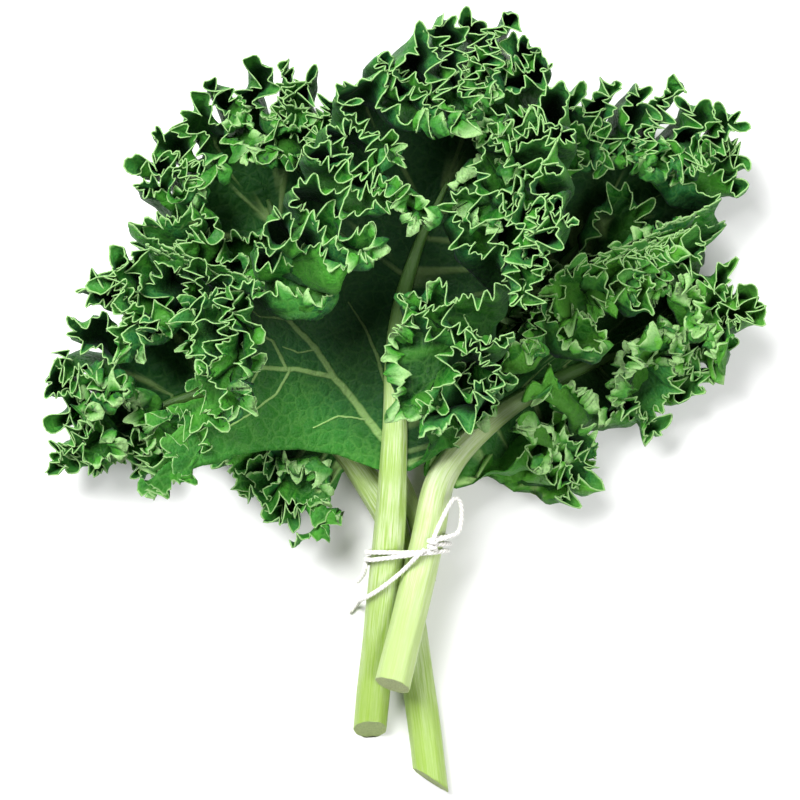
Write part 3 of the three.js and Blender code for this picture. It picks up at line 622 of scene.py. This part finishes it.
def leaf_material(name, deep, mid, young, lines=()):
    """A leaf: deep green with a bluish bloom, a pale rim with a painted highlight, paler veins in a net of
    blisters, and painted shade in the gaps between its frills.
    """
    material, node, give = node_material(name)
    place = node("TexCoord").outputs["Object"]
    keys = ("edge", "upper", "deep", "frill", "lateral", "crest")
    edge, upper, gap, frill, lateral, crest = [carried(node, key) for key in keys]
    drift = noise(node, place, LEAF_SCALES["drift"], 3, "Color")
    bent = mixed(node, NET_WANDER, place, drift, "ADD")
    net = cell_walls(node, bent, LEAF_SCALES["net"])
    fine = cell_walls(node, bent, LEAF_SCALES["fine net"])
    patches = noise(node, place, LEAF_SCALES["patches"], 5)
    grain = noise(node, place, LEAF_SCALES["grain"], 4)
    if lines:
        wander = vector(node, "SCALE", {0: drift, "Scale": VEIN_WANDER})
        wander = vector(node, "ADD", {0: place, 1: wander})
        lateral = maths(node, "MULTIPLY_ADD", on_lines(node, wander, lines), carried(node, "open"), lateral)

    # Green: deeper and paler in patches, young on crests and where the blade is calm.
    green = mixed(node, span(node, patches, 0.38, 0.64), deep, mid)
    calm = maths(node, "MULTIPLY_ADD", frill, -0.6, 0.6)
    green = mixed(node, calm, green, tuple(0.6 * a + 0.4 * b for a, b in zip(mid, young)))
    green = mixed(node, span(node, crest, -0.6, 1.0, 0, 0.75), green, young)
    # Bloom, on the upper side.
    bloom = maths(node, "MULTIPLY", upper, span(node, patches, 0.35, 0.6, 0.25, 0.6))
    bloom = maths(node, "MULTIPLY", bloom, maths(node, "MULTIPLY_ADD", frill, 0.75, 0.25))
    green = mixed(node, bloom, green, tuple(0.5 * (a + b) for a, b in zip(mid, BLOOM)))
    # Veins.
    green = mixed(node, span(node, net, 0.01, 0.12, 0.17, 0.0), green, NET)
    green = mixed(node, span(node, fine, 0.02, 0.12, 0.12, 0.0), green, FINE_NET)
    green = mixed(node, span(node, lateral, 0.1, 1.0, 0, 0.85), green, VEIN)
    # Painted shade: the gaps between the frills darkened, more so on the upper side.
    gap = maths(node, "MULTIPLY", gap, maths(node, "MULTIPLY_ADD", upper, 0.42, 0.46))
    green = mixed(node, gap, green, tuple(0.08 * c for c in mid))
    # Near the margin, by mm from it: lighter young green, then on the rim a pale colour that is partly the
    # margin's own and partly a painted highlight, patchy in places.
    green = mixed(node, span(node, edge, 0.8, 3.0, 0.4, 0.0), green, young)
    uneven_highlight = span(node, grain, 0.3, 0.6, 0.72, 1.0)
    rim_highlight = maths(node, "MULTIPLY", span(node, edge, 0.2, 1.3, 1.0, 0.0), uneven_highlight)
    green = mixed(node, rim_highlight, green, PALE_RIM_HIGHLIGHT)

    dry = span(node, grain, 0.3, 0.7, 0.40, 0.56)
    blister = span(node, net, 0.0, 0.45)
    pucker = span(node, fine, 0.0, 0.4, 0, 0.35)
    height = maths(node, "ADD", blister, pucker)
    height = maths(node, "ADD", height, maths(node, "MULTIPLY", lateral, 1.3))
    height = maths(node, "MULTIPLY_ADD", grain, 0.12, height)
    give({
        "Base Color": green,
        "Roughness": maths(node, "MULTIPLY_ADD", gap, 0.22, dry),
        "Subsurface Weight": 0.16,
        "Subsurface Radius": (0.6, 1.0, 0.25),
        "Subsurface Scale": 0.0012,
        "Sheen Weight": 0.03,
        "Sheen Roughness": 0.45,
        "Sheen Tint": (0.72, 0.86, 1.0, 1),
        "Specular IOR Level": 0.14,
        "Normal": bump(node, height, 0.5, 0.0011),
    })
    return material


# Colours of a midrib where the blade begins, and further up.
MIDRIB = (0.34, 0.54, 0.19)
UPPER_MIDRIB = (0.075, 0.21, 0.03)
# Fibres of a stalk: so many round half of it, and so many to a mm along it.
FIBRES = {"around": 34.0, "along": 0.045}
STALK_SCALES = {"patches": 45, "grain": 1500}


def stalk_material(name, body, shade, cut):
    """A stalk: pale and waxy, with long fibres, greener by its foot and towards the leaf, and a dry, rough
    cut end."""
    material, node, give = node_material(name)
    place = node("TexCoord").outputs["Object"]
    along, cut_at, leafy = [carried(node, key) for key in ("along", "cut", "leafy")]
    lines = node("CombineXYZ", {
        "X": maths(node, "MULTIPLY", carried(node, "around"), FIBRES["around"]),
        "Y": maths(node, "MULTIPLY", along, FIBRES["along"]),
    }).outputs[0]
    fibre = noise(node, lines, 1.0, 5, Roughness=0.65)
    patches = noise(node, place, STALK_SCALES["patches"], 4)
    grain = noise(node, place, STALK_SCALES["grain"], 3)

    colour = mixed(node, span(node, fibre, 0.34, 0.66), shade, body)
    colour = mixed(node, span(node, patches, 0.42, 0.7, 0, 0.5), colour, shade)
    colour = mixed(node, span(node, along, 15.0, 95.0, 0.75, 0.0), colour, shade)
    colour = mixed(node, maths(node, "MULTIPLY", leafy, 0.55), colour, MIDRIB)
    colour = mixed(node, span(node, leafy, 0.3, 0.8, 0.0, 0.9), colour, UPPER_MIDRIB)
    woody = mixed(node, span(node, grain, 0.35, 0.65), cut, tuple(0.72 * c for c in cut))
    give({
        "Base Color": mixed(node, cut_at, colour, woody),
        "Roughness": span(node, cut_at, 0.3, 0.9, 0.38, 0.8),
        "Subsurface Weight": 0.22,
        "Subsurface Radius": (0.9, 1.0, 0.35),
        "Subsurface Scale": 0.002,
        "Normal": bump(node, maths(node, "MULTIPLY_ADD", grain, 0.1, fibre), 0.5, 0.0006),
    })
    return material


# Colours of the string. The groove colour is painted shade where the plies meet.
COTTON = (0.87, 0.86, 0.82)
GROOVE_SHADE = (0.40, 0.38, 0.34)
COTTON_HAIR = (0.6, 0.58, 0.53)
HAIR_SCALE = 2600


def string_material():
    """Cotton string: white, dull and hairy, with painted shade in the grooves where its plies meet."""
    material, node, give = node_material("cotton_string")
    hairs = noise(node, node("TexCoord").outputs["Object"], HAIR_SCALE, 4, Roughness=0.7)
    # Painted shade in the grooves between the plies.
    colour = mixed(node, carried(node, "ply"), GROOVE_SHADE, COTTON)
    give({
        "Base Color": mixed(node, span(node, hairs, 0.4, 0.7, 0, 0.18), colour, COTTON_HAIR),
        "Roughness": 0.88,
        "Sheen Weight": 0.35,
        "Sheen Roughness": 0.6,
        "Subsurface Weight": 0.1,
        "Subsurface Radius": (1.0, 0.95, 0.9),
        "Subsurface Scale": 0.0008,
        "Normal": bump(node, hairs, 0.6, 0.0003),
    })
    return material


# ---- camera, floor and light ----

# The point that the camera looks down on, in mm. Its height, the lights' aim and half the floor, in metres.
VIEW_CENTRE = (-2.4, 75, 0)
CAMERA_HEIGHT = 1.6
LIGHT_AIM = (0, 0, 0.05)
FLOOR_HALF = 4
WORLD_STRENGTH = 0.27

camera = new_object("camera", bpy.data.cameras.new("camera"))
camera.data.sensor_width = 36
camera.data.lens = 142.5
camera.data.dof.use_dof = False
camera.data.clip_start = 0.1
camera.location = (*placed(VIEW_CENTRE)[:2], CAMERA_HEIGHT)
bpy.context.scene.camera = camera
bpy.context.scene.view_settings.view_transform = "Standard"

floor_mesh = bpy.data.meshes.new("floor")
floor_corners = [(x * FLOOR_HALF, y * FLOOR_HALF, 0) for x, y in ((-1, -1), (1, -1), (1, 1), (-1, 1))]
floor_mesh.from_pydata(floor_corners, [], [(0, 1, 2, 3)])
floor = new_object("floor", floor_mesh)
floor_material, _, floor_give = node_material("floor")
floor_give({"Base Color": (0.86, 0.86, 0.86, 1), "Roughness": 0.7})
floor_mesh.materials.append(floor_material)


def light(name, location, energy, size):
    lamp = new_object(name, bpy.data.lights.new(name, "AREA"))
    lamp.data.energy = energy
    lamp.data.size = size
    lamp.location = location
    lamp.rotation_mode = "QUATERNION"
    lamp.rotation_quaternion = (Vector(LIGHT_AIM) - lamp.location).to_track_quat("-Z", "Y")


light("key", (-0.6, 0.8, 1.4), 54, 0.9)
light("fill", (0.8, -0.5, 1.5), 20, 1.0)
world = bpy.data.worlds.new("studio")
world.use_nodes = True
background = world.node_tree.nodes["Background"]
background.inputs["Color"].default_value = (1, 1, 1, 1)
background.inputs["Strength"].default_value = WORLD_STRENGTH
bpy.context.scene.world = world

# ---- the string ----

# The twist: plies, the length of a turn, the sides of the mesh and its steps along the string, the depth of
# the grooves as a share of the radius, and the power that rounds the plies.
PLY = {"count": 3, "pitch": 7.0, "sides": 24, "step": 0.5, "groove": 0.2, "round": 0.7}
# Slow swells of a string's thickness along it: share, rate and shift.
SWELLS = ((0.05, 0.9, 0.5), (0.04, 2.3, 0))
# The lowest that a string's surface goes, and how much thinner the loose end is than its solid.
STRING_FLOOR = 0.05
TAIL_SLACK = 0.02


def string_points(route, radius):
    """The surface of a twisted string along a route, with a value that falls in the grooves."""
    lengths = running_lengths(route)
    count = max(int(lengths[-1] / PLY["step"]), 8) + 1
    at = np.linspace(0, lengths[-1], count)
    line = np.stack([np.interp(at, lengths, route[:, k]) for k in range(3)], -1)
    sides, ups = sweep_frames(line)
    turn = 2 * math.pi * np.arange(PLY["sides"]) / PLY["sides"]
    twist = turn[None] - 2 * math.pi * at[:, None] / PLY["pitch"]
    ply = np.abs(np.cos(PLY["count"] / 2 * twist)) ** PLY["round"]
    swell = 1 + sum(size * np.sin(rate * at + shift) for size, rate, shift in SWELLS)
    across = radius * swell[:, None] * (1 - PLY["groove"] * (1 - ply))
    points = (line[:, None] + (across * np.cos(turn))[..., None] * sides[:, None]
              + (across * np.sin(turn))[..., None] * ups[:, None])
    return points, ply


def string_piece(name, routes, radius, material, cad_node):
    """A piece of one or more lengths of string."""
    points, faces, plies, count = [], [], [], 0
    for route in routes:
        ring_points, ply = string_points(route, radius)
        points.append(ring_points.reshape(-1, 3))
        plies.append(ply.ravel())
        faces.append(tube_faces(len(ring_points), PLY["sides"]) + count)
        count += len(points[-1])
    points = np.concatenate(points)
    points[:, 2] = np.maximum(points[:, 2], STRING_FLOOR)
    values = {"ply": np.concatenate(plies)}
    return mesh_object(name, points, np.concatenate(faces), material, values, cad_node)


def stalk_section(spec, y):
    """Where a stalk's middle is at a given y, with the radius of its slanting section."""
    midline = np.array(spec["midline"], float)
    x, _, z, radius = spline(midline, np.interp(y, midline[:, 1], np.arange(len(midline))))
    return x, z, WINDING["section"] * radius


def winding_point(bearing, y):
    """The point of a taut string round all the stalks, at a bearing about the middle of the bunch."""
    way = np.array([math.cos(bearing), math.sin(bearing)])
    sections = [stalk_section(spec, y) for spec in LEAVES.values()]
    x, z, radius = max(sections, key=lambda s: s[0] * way[0] + s[1] * way[1] + s[2])
    away = radius + STRING["clear"] + STRING["radius"]
    return np.array([x + away * way[0], y, z + away * way[1]])


def winding_route():
    """The windings round the stalks, and the short end."""
    count = round(WINDING["turns"] * WINDING["steps"])
    route = []
    for i in range(count + 1):
        turn = i / WINDING["steps"]
        bearing = math.radians(WINDING["from"]) - 2 * math.pi * turn
        y = WINDING["top"] - WINDING["pitch"] * turn
        x = winding_point(bearing, y)[0]
        route.append(winding_point(bearing, y + WINDING["slant"] * (x - WINDING["middle"])))
    return np.array(route + [np.array(point) for point in SHORT_TAIL])


def knot_route():
    """The knot: a short coil."""
    share = np.linspace(0, 1, KNOT["points"])
    turn = 2 * math.pi * KNOT["turns"] * share
    offset = [KNOT["coil"] * np.cos(turn), KNOT["length"] * (share - 0.5), KNOT["coil"] * np.sin(turn)]
    return np.array(KNOT["centre"]) + np.stack(offset, -1)


def refined(points, steps):
    """A smooth line through points, with so many steps from one to the next."""
    return spline(points, np.linspace(0, len(points) - 1, steps * (len(points) - 1) + 1))


cotton = string_material()
tail_route = refined(TAIL_ROUTE, 5)
tail = string_piece("loose_end", [tail_route], TAIL["radius"] - TAIL_SLACK, cotton, "string_tail")
tie_routes = [refined(winding_route(), 4), knot_route(), refined(BOW, 12)]
string_piece("tie", tie_routes, STRING["radius"], cotton, "tie_string")

# ---- the stalks ----

STALK = {"rings": 220, "sides": 56}
# A stalk's surface as a share of its solid's radius, with its long ridges: how many round it, how high, and
# their shift. Its unevenness changes slowly along it.
SURFACE = {"level": 0.965, "uneven": 0.02, "rate": 0.045}
RIDGES = ((9, 0.016, 0), (23, 0.012, 1))
# The cut end: how fast its slant fades along the stalk, rings of its face that shrink to the middle, and how
# hollow and how torn that face is.
CUT = {"fade": 5, "rings": (0.97, 0.9, 0.78, 0.62, 0.45, 0.28, 0.12), "hollow": 0.35, "torn": 0.3}
# Where a midrib starts to turn green, as a share of the way to the blade's foot.
GREEN_FROM = 0.7


def stalk_piece(leaf, material):
    """A stalk and its midrib, with long ridges, and its slanting cut end a little hollow."""
    share = np.linspace(0, 1, STALK["rings"])
    centre, way, radius = leaf.rib_at(share)
    up = unit(np.array([0, 0, 1.0]) - scaled(way, way[:, 2]))
    side = np.cross(up, way)
    turn = 2 * math.pi * (np.arange(STALK["sides"]) + 0.5) / STALK["sides"]
    ridge = wobble(leaf.spec["seed"] * 37 + 9)
    length = share * leaf.rib_length
    ridges = sum(size * np.cos(count * turn + shift) for count, size, shift in RIDGES)[None]
    uneven = SURFACE["uneven"] * ridge(length[:, None] * SURFACE["rate"] + 2 * np.cos(turn)[None])
    across = radius[:, None] * (SURFACE["level"] + ridges + uneven)
    x, z = across * np.cos(turn), across * np.sin(turn)
    rings = centre[:, None] + x[..., None] * side[:, None] + z[..., None] * up[:, None]
    slant = leaf.spec["cut"]
    ease = np.exp(-length / CUT["fade"])[:, None]
    offset = rings - centre[:, None]
    move = ease * (slant[0] * offset[..., 0] + slant[1] * offset[..., 2])
    rings = rings + move[..., None] * way[:, None]

    shrink = np.array(CUT["rings"])
    end, middle, inward = rings[0], rings[0].mean(0), way[0]
    torn = CUT["torn"] * ridge(3 * turn[None] + 9 * shrink[:, None])
    dips = CUT["hollow"] * (1 - shrink**2)[:, None] + torn
    face = middle + shrink[:, None, None] * (end - middle) + (dips * shrink[:, None])[..., None] * inward
    rings = np.concatenate([face[::-1], rings])
    rings[..., 2] = np.maximum(rings[..., 2], 0)

    on_face = np.zeros(len(shrink))
    green_from = GREEN_FROM * leaf.spec["bladeFrom"]
    of_rings = {
        "along": np.concatenate([on_face, length]),
        "cut": np.concatenate([on_face + 1, np.zeros(len(share))]),
        "leafy": np.concatenate([on_face, smooth((share - green_from) / (1 - green_from))]),
    }
    values = {key: np.repeat(value, STALK["sides"]) for key, value in of_rings.items()}
    values["around"] = np.tile(np.sin(turn / 2), len(rings))
    faces = tube_faces(len(rings), STALK["sides"])
    mesh_object("fine_stalk_" + leaf.name, rings.reshape(-1, 3), faces, material, values,
                "stalk_" + leaf.name)


# ---- the blades ----

# Steps of the finest rows to a column of the solid's margin.
SUB = 12
# The rows of a blade from its margin inwards: mm from it, the share of what is left, and the stride. The last
# stride is of the row that runs into the midrib.
FINE_ROWS = (
    (0, 0, 1), (0.5, 0, 1), (1.1, 0, 1), (2.0, 0, 1), (3.0, 0, 2), (4.2, 0, 2), (5.6, 0, 4), (7.4, 0, 4),
    (9, 0, 4), (9, 0.03, 4), (9, 0.07, 4), (9, 0.12, 4), (9, 0.18, 12), (9, 0.25, 12), (9, 0.33, 12),
    (9, 0.46, 12), (9, 0.62, 12), (9, 0.8, 12), (9, 1, 12),
)
STRIDES = [row[2] for row in FINE_ROWS] + [12]
# Frills, one longer than the crimps and three finer: half waves to a column, their reach, how deep into the
# blade they go, how fast they fade there, and how far they stretch and pull back the rim.
FRILLS = (
    {"rate": 0.43, "reach": 3.2, "depth": 40.0, "flare": 1.3, "tooth": 0, "seed": 13},
    {"rate": 1.9, "reach": 2.7, "depth": 15.0, "flare": 1.5, "tooth": 0.5, "seed": 19},
    {"rate": 3.4, "reach": 1.5, "depth": 7.5, "flare": 1.3, "tooth": 0.8, "seed": 23},
    {"rate": 4.8, "reach": 0.5, "depth": 4.0, "flare": 1.2, "tooth": 0.4, "seed": 29},
)
# What all frills share: how pointed they are, and how much their spacing and reach differ.
FRILL = {"pointed": 0.15, "uneven": 0.5, "varied": 0.4}
# The lift of the margin: how far in it starts, how steeply the blade then rises at least, and how softly this
# sets in.
RAISE = {"from": 16, "slope": 0.5, "ease": 0.8}
# Half a fine blade's thickness, and the lowest that it goes.
BLADE_HALF = 0.26
BLADE_FLOOR = 0.1
# The foot of a blade ends at this share of the midrib's radius, and counts as so many mm more of width.
FOOT = {"share": 0.6, "width": 2}
# Lateral veins: their spacing on the margin, how much of it they drift, their half width there, what it gains
# by the midrib, how many half widths they spread, and how far in they are full.
LATERAL = {"spacing": 34, "drift": 0.18, "width": 0.5, "gains": 1.6, "spread": 1.4, "full": 14}
# The top leaf's open part: up to a share of its midrib, and from so many mm in, with what each fades over.
OPEN = {"to": 0.62, "to_over": 0.2, "from": 34, "from_over": 12}
# Painted shade darkens the gaps between frills where the folds have more than a share of their reach, from so
# many mm in. Much further in it pales, by a share, and least on the top leaf.
PAINTED_GAP_SHADE = {"fold": 0.5, "fold_over": 0.6, "from": 4, "from_over": 16, "pale": 48, "pale_over": 24}
PALING = {"top": 0.15, "others": 0.55}


def grid_normals(grid):
    return unit(np.cross(np.gradient(grid, axis=1), np.gradient(grid, axis=0)))


def evened(grid, count):
    """A grid with each row averaged over a count of its points, which takes its crimps out."""
    weight = np.ones(count) / count
    wide = np.pad(grid, ((0, 0), (count // 2, count // 2), (0, 0)), "edge")
    rows = [[np.convolve(row[:, k], weight, "valid") for k in range(3)] for row in wide]
    return np.stack(rows).transpose(0, 2, 1)


def frilled(leaf, column, mm, grid):
    """More frills along the margin, on top of the crimps, all square to the folds."""
    folds = evened(grid, 2 * SUB + 1)
    square, away = grid_normals(folds), unit(-np.gradient(folds, axis=0))
    for frill in FRILLS:
        seed = leaf.spec["seed"] * frill["seed"]
        turn, size = wobble(seed + 6), wobble(seed + 7)
        angle = math.pi * (frill["rate"] * column + FRILL["uneven"] * turn(column * 0.8))
        wave = pointed(angle, FRILL["pointed"])
        edge = np.maximum(1 - mm / frill["depth"], 0) ** frill["flare"]
        reach = frill["reach"] * (1 + FRILL["varied"] * size(column * 0.9))
        grid = (grid + scaled(square, edge * reach * wave)
                + scaled(away, edge * frill["tooth"] * (np.abs(wave) ** 1.5 - 0.45)))
    return grid


def raised(mm, grid):
    """Lifts the margin wherever it hangs over, so that the frills open upwards."""
    row = int(np.argmax(mm[:, 0] >= RAISE["from"]))
    least = grid[row, :, 2] + RAISE["slope"] * (mm[row] - mm)
    short = np.where(mm < mm[row], least - grid[..., 2], -np.inf)
    grid = grid.copy()
    grid[..., 2] += RAISE["ease"] * np.log1p(np.exp(np.clip(short / RAISE["ease"], -30, 30)))
    return grid


def lateral_veins(leaf, grid, mm, place, width):
    """Lines square to the margin, wide at the midrib."""
    step = np.linalg.norm(np.gradient(grid, axis=1), axis=-1) / np.maximum(np.gradient(place, axis=1), 1e-7)
    spacing = 1 / max(round(leaf.plain[-1] / LATERAL["spacing"]), 1)
    drift = LATERAL["drift"] * leaf.lift(mm * 0.05 + 40 * place)
    off = np.abs((place / spacing + drift) % 1 - 0.5) * spacing * step
    half = LATERAL["width"] + LATERAL["gains"] * np.clip(mm / width, 0, 1)
    return np.clip(LATERAL["spread"] - off / half, 0, 1) * smooth(mm / LATERAL["full"])


def stitched(count):
    """The points of rows that get coarser inwards, as rows and steps of the grid, the triangles between them,
    and the loop round them."""
    picks = [np.arange(0, count + 1, stride) for stride in STRIDES]
    rows = np.repeat(np.arange(len(STRIDES)), [len(pick) for pick in picks])
    picks = np.concatenate(picks)
    index = -np.ones((len(STRIDES), count + 1), int)
    index[rows, picks] = np.arange(len(rows))
    faces = []
    for r in range(1, len(STRIDES)):
        fine, coarse = index[r - 1, ::STRIDES[r - 1]], index[r, ::STRIDES[r]]
        k = STRIDES[r] // STRIDES[r - 1]
        a, b = coarse[:-1], coarse[1:]
        half = (k + 1) // 2
        for i in range(k):
            corner = a if i < half else b
            faces.append(np.stack([corner, fine[i + 1::k][: len(a)], fine[i::k][: len(a)]], 1))
        faces.append(np.stack([a, b, fine[half::k][: len(a)]], 1))
    foot = index[-1, ::STRIDES[-1]]
    loop = np.concatenate([index[0], index[1:, -1], foot[::-1][1:], index[1:-1, 0][::-1]])
    return rows, picks, np.concatenate(faces), loop


def blade_piece(leaf, material):
    """A blade: both sides of a grid of rows, closed round the rim."""
    count = leaf.columns * SUB
    column = np.linspace(0, leaf.columns, count + 1)
    margin_place = leaf.place_of(column)
    width = leaf.width_at(margin_place)
    mm = np.array([row[0] + row[1] * (width - row[0]) for row in FINE_ROWS])
    out = np.clip(1 - mm / width, 0, 1)
    columns = np.broadcast_to(column, mm.shape)
    plain = leaf.crimped(columns, out)
    grid = frilled(leaf, columns, mm, plain)
    crest = ((grid - plain) * grid_normals(plain)).sum(-1)
    grid = press(leaf.name, raised(mm, grid))

    # One more row runs the foot of the blade into the midrib.
    station = leaf.station(margin_place)
    start = leaf.spec["bladeFrom"]
    along = np.clip(station[..., 0], 0, 1)
    centre, _, radius = leaf.rib_at(start + (1 - start) * along)
    foot = grid[-1]
    reach = np.linalg.norm(foot - centre, axis=-1)
    inner = centre + scaled(foot - centre, np.minimum(FOOT["share"] * radius / reach, 1))
    grid = np.concatenate([grid, inner[None]])
    mm = np.concatenate([mm, (width + FOOT["width"])[None]])
    crest = np.concatenate([crest, crest[-1:]])
    place = np.broadcast_to(margin_place, mm.shape)
    vein = lateral_veins(leaf, grid, mm, place, width)

    # The top leaf's open part, by the foot on its left, has veins of its own.
    open_part = np.zeros(mm.shape)
    if leaf.name == "top":
        calm = (place < 0.5) * smooth((OPEN["to"] - along) / OPEN["to_over"])
        open_part = calm * smooth((mm - OPEN["from"]) / OPEN["from_over"])
        vein = vein * (1 - calm)

    # The painted shade of the gaps between the frills, carried to the material as deep.
    frill = smooth((station[..., 6] - PAINTED_GAP_SHADE["fold"]) / PAINTED_GAP_SHADE["fold_over"])
    pale = PALING.get(leaf.name, PALING["others"]) * smooth((mm - PAINTED_GAP_SHADE["pale"]) / PAINTED_GAP_SHADE["pale_over"])
    deep = frill * smooth((mm - PAINTED_GAP_SHADE["from"]) / PAINTED_GAP_SHADE["from_over"]) * (1 - pale)

    rows, picks, faces, loop = stitched(count)
    middle, normal = grid[rows, picks], grid_normals(grid)[rows, picks]
    total = len(middle)
    points = np.concatenate([middle + BLADE_HALF * normal, middle - BLADE_HALF * normal])
    points[:, 2] = np.maximum(points[:, 2], BLADE_FLOOR)
    a, b = loop, np.roll(loop, -1)
    rim = [np.stack([b, a, a + total], 1), np.stack([b, a + total, b + total], 1)]
    faces = np.concatenate([faces[:, ::-1], faces + total, *rim])
    of_grid = {
        "edge": mm,
        "crest": crest,
        "lateral": vein,
        "deep": deep,
        "frill": np.broadcast_to(frill, mm.shape),
        "open": open_part,
    }
    values = {key: np.tile(value[rows, picks], 2) for key, value in of_grid.items()}
    values["upper"] = np.repeat([0.0, 1.0], total)
    mesh_object("fine_blade_" + leaf.name, points, faces, material, values, "blade_" + leaf.name)


# The main veins of the top leaf's open part: points in mm, each with half the vein's width.
OPEN_VEINS = (
    ((-8, 54, 2.0), (-25.7, 77.4, 1.8), (-34, 87.2, 1.6), (-42.3, 100.3, 1.4), (-55.9, 114.9, 1.2),
     (-75.3, 137.2, 0.8)),
    ((-34, 87.2, 1.3), (-51, 90.6, 1.2), (-69.5, 91.5, 1.0), (-97.2, 88.6, 0.6)),
    ((-57, 91, 0.8), (-63.2, 104.2, 0.7), (-72.9, 109, 0.6), (-88.9, 112.9, 0.45)),
    ((-69.5, 91.5, 0.6), (-74.3, 82.3, 0.5), (-81.1, 74, 0.4)),
    ((-54.9, 90.6, 0.7), (-61.7, 78.9, 0.6), (-76.3, 67.7, 0.5), (-88.9, 60.4, 0.4)),
    ((-6.3, 75, 1.0), (-13.1, 98.3, 0.9), (-18.9, 111.5, 0.7), (-26.7, 123.6, 0.5)),
    ((-42.3, 100.3, 0.5), (-51, 98.8, 0.4), (-58.3, 101.7, 0.35)),
    ((-55.9, 114.9, 0.6), (-69.5, 116.3, 0.5), (-80.2, 123.6, 0.4)),
    ((-3.4, 123.6, 0.9), (-14.6, 142, 0.7), (-26.7, 152.8, 0.5)),
    ((-18, 66.5, 0.5), (-32, 68, 0.45), (-44, 62, 0.35)),
)
# A leaf's deep, middle and young green. A stalk's body, its shade and its cut end.
OLD = ((0.006, 0.060, 0.005), (0.012, 0.120, 0.008), (0.048, 0.235, 0.018))
YOUNG = ((0.012, 0.095, 0.006), (0.028, 0.172, 0.010), (0.080, 0.290, 0.024))
PALE = ((0.57, 0.64, 0.42), (0.36, 0.49, 0.15), (0.40, 0.46, 0.22))
FRESH = ((0.52, 0.62, 0.36), (0.25, 0.39, 0.05), (0.34, 0.43, 0.16))
open_leaf = leaf_material("kale_leaf_top", *OLD, lines=OPEN_VEINS)
old_leaf = leaf_material("kale_leaf", *OLD)
young_leaf = leaf_material("kale_leaf_young", *YOUNG)
pale_stalk = stalk_material("kale_stalk", *PALE)
fresh_stalk = stalk_material("kale_stalk_fresh", *FRESH)
LOOKS = {
    "top": (fresh_stalk, open_leaf),
    "left": (fresh_stalk, old_leaf),
    "upper_left": (pale_stalk, old_leaf),
    "upper_right": (pale_stalk, old_leaf),
    "right": (pale_stalk, young_leaf),
}
for name, spec in LEAVES.items():
    leaf = Leaf(name, spec)
    stalk_look, blade_look = LOOKS[name]
    stalk_piece(leaf, stalk_look)
    blade_piece(leaf, blade_look)
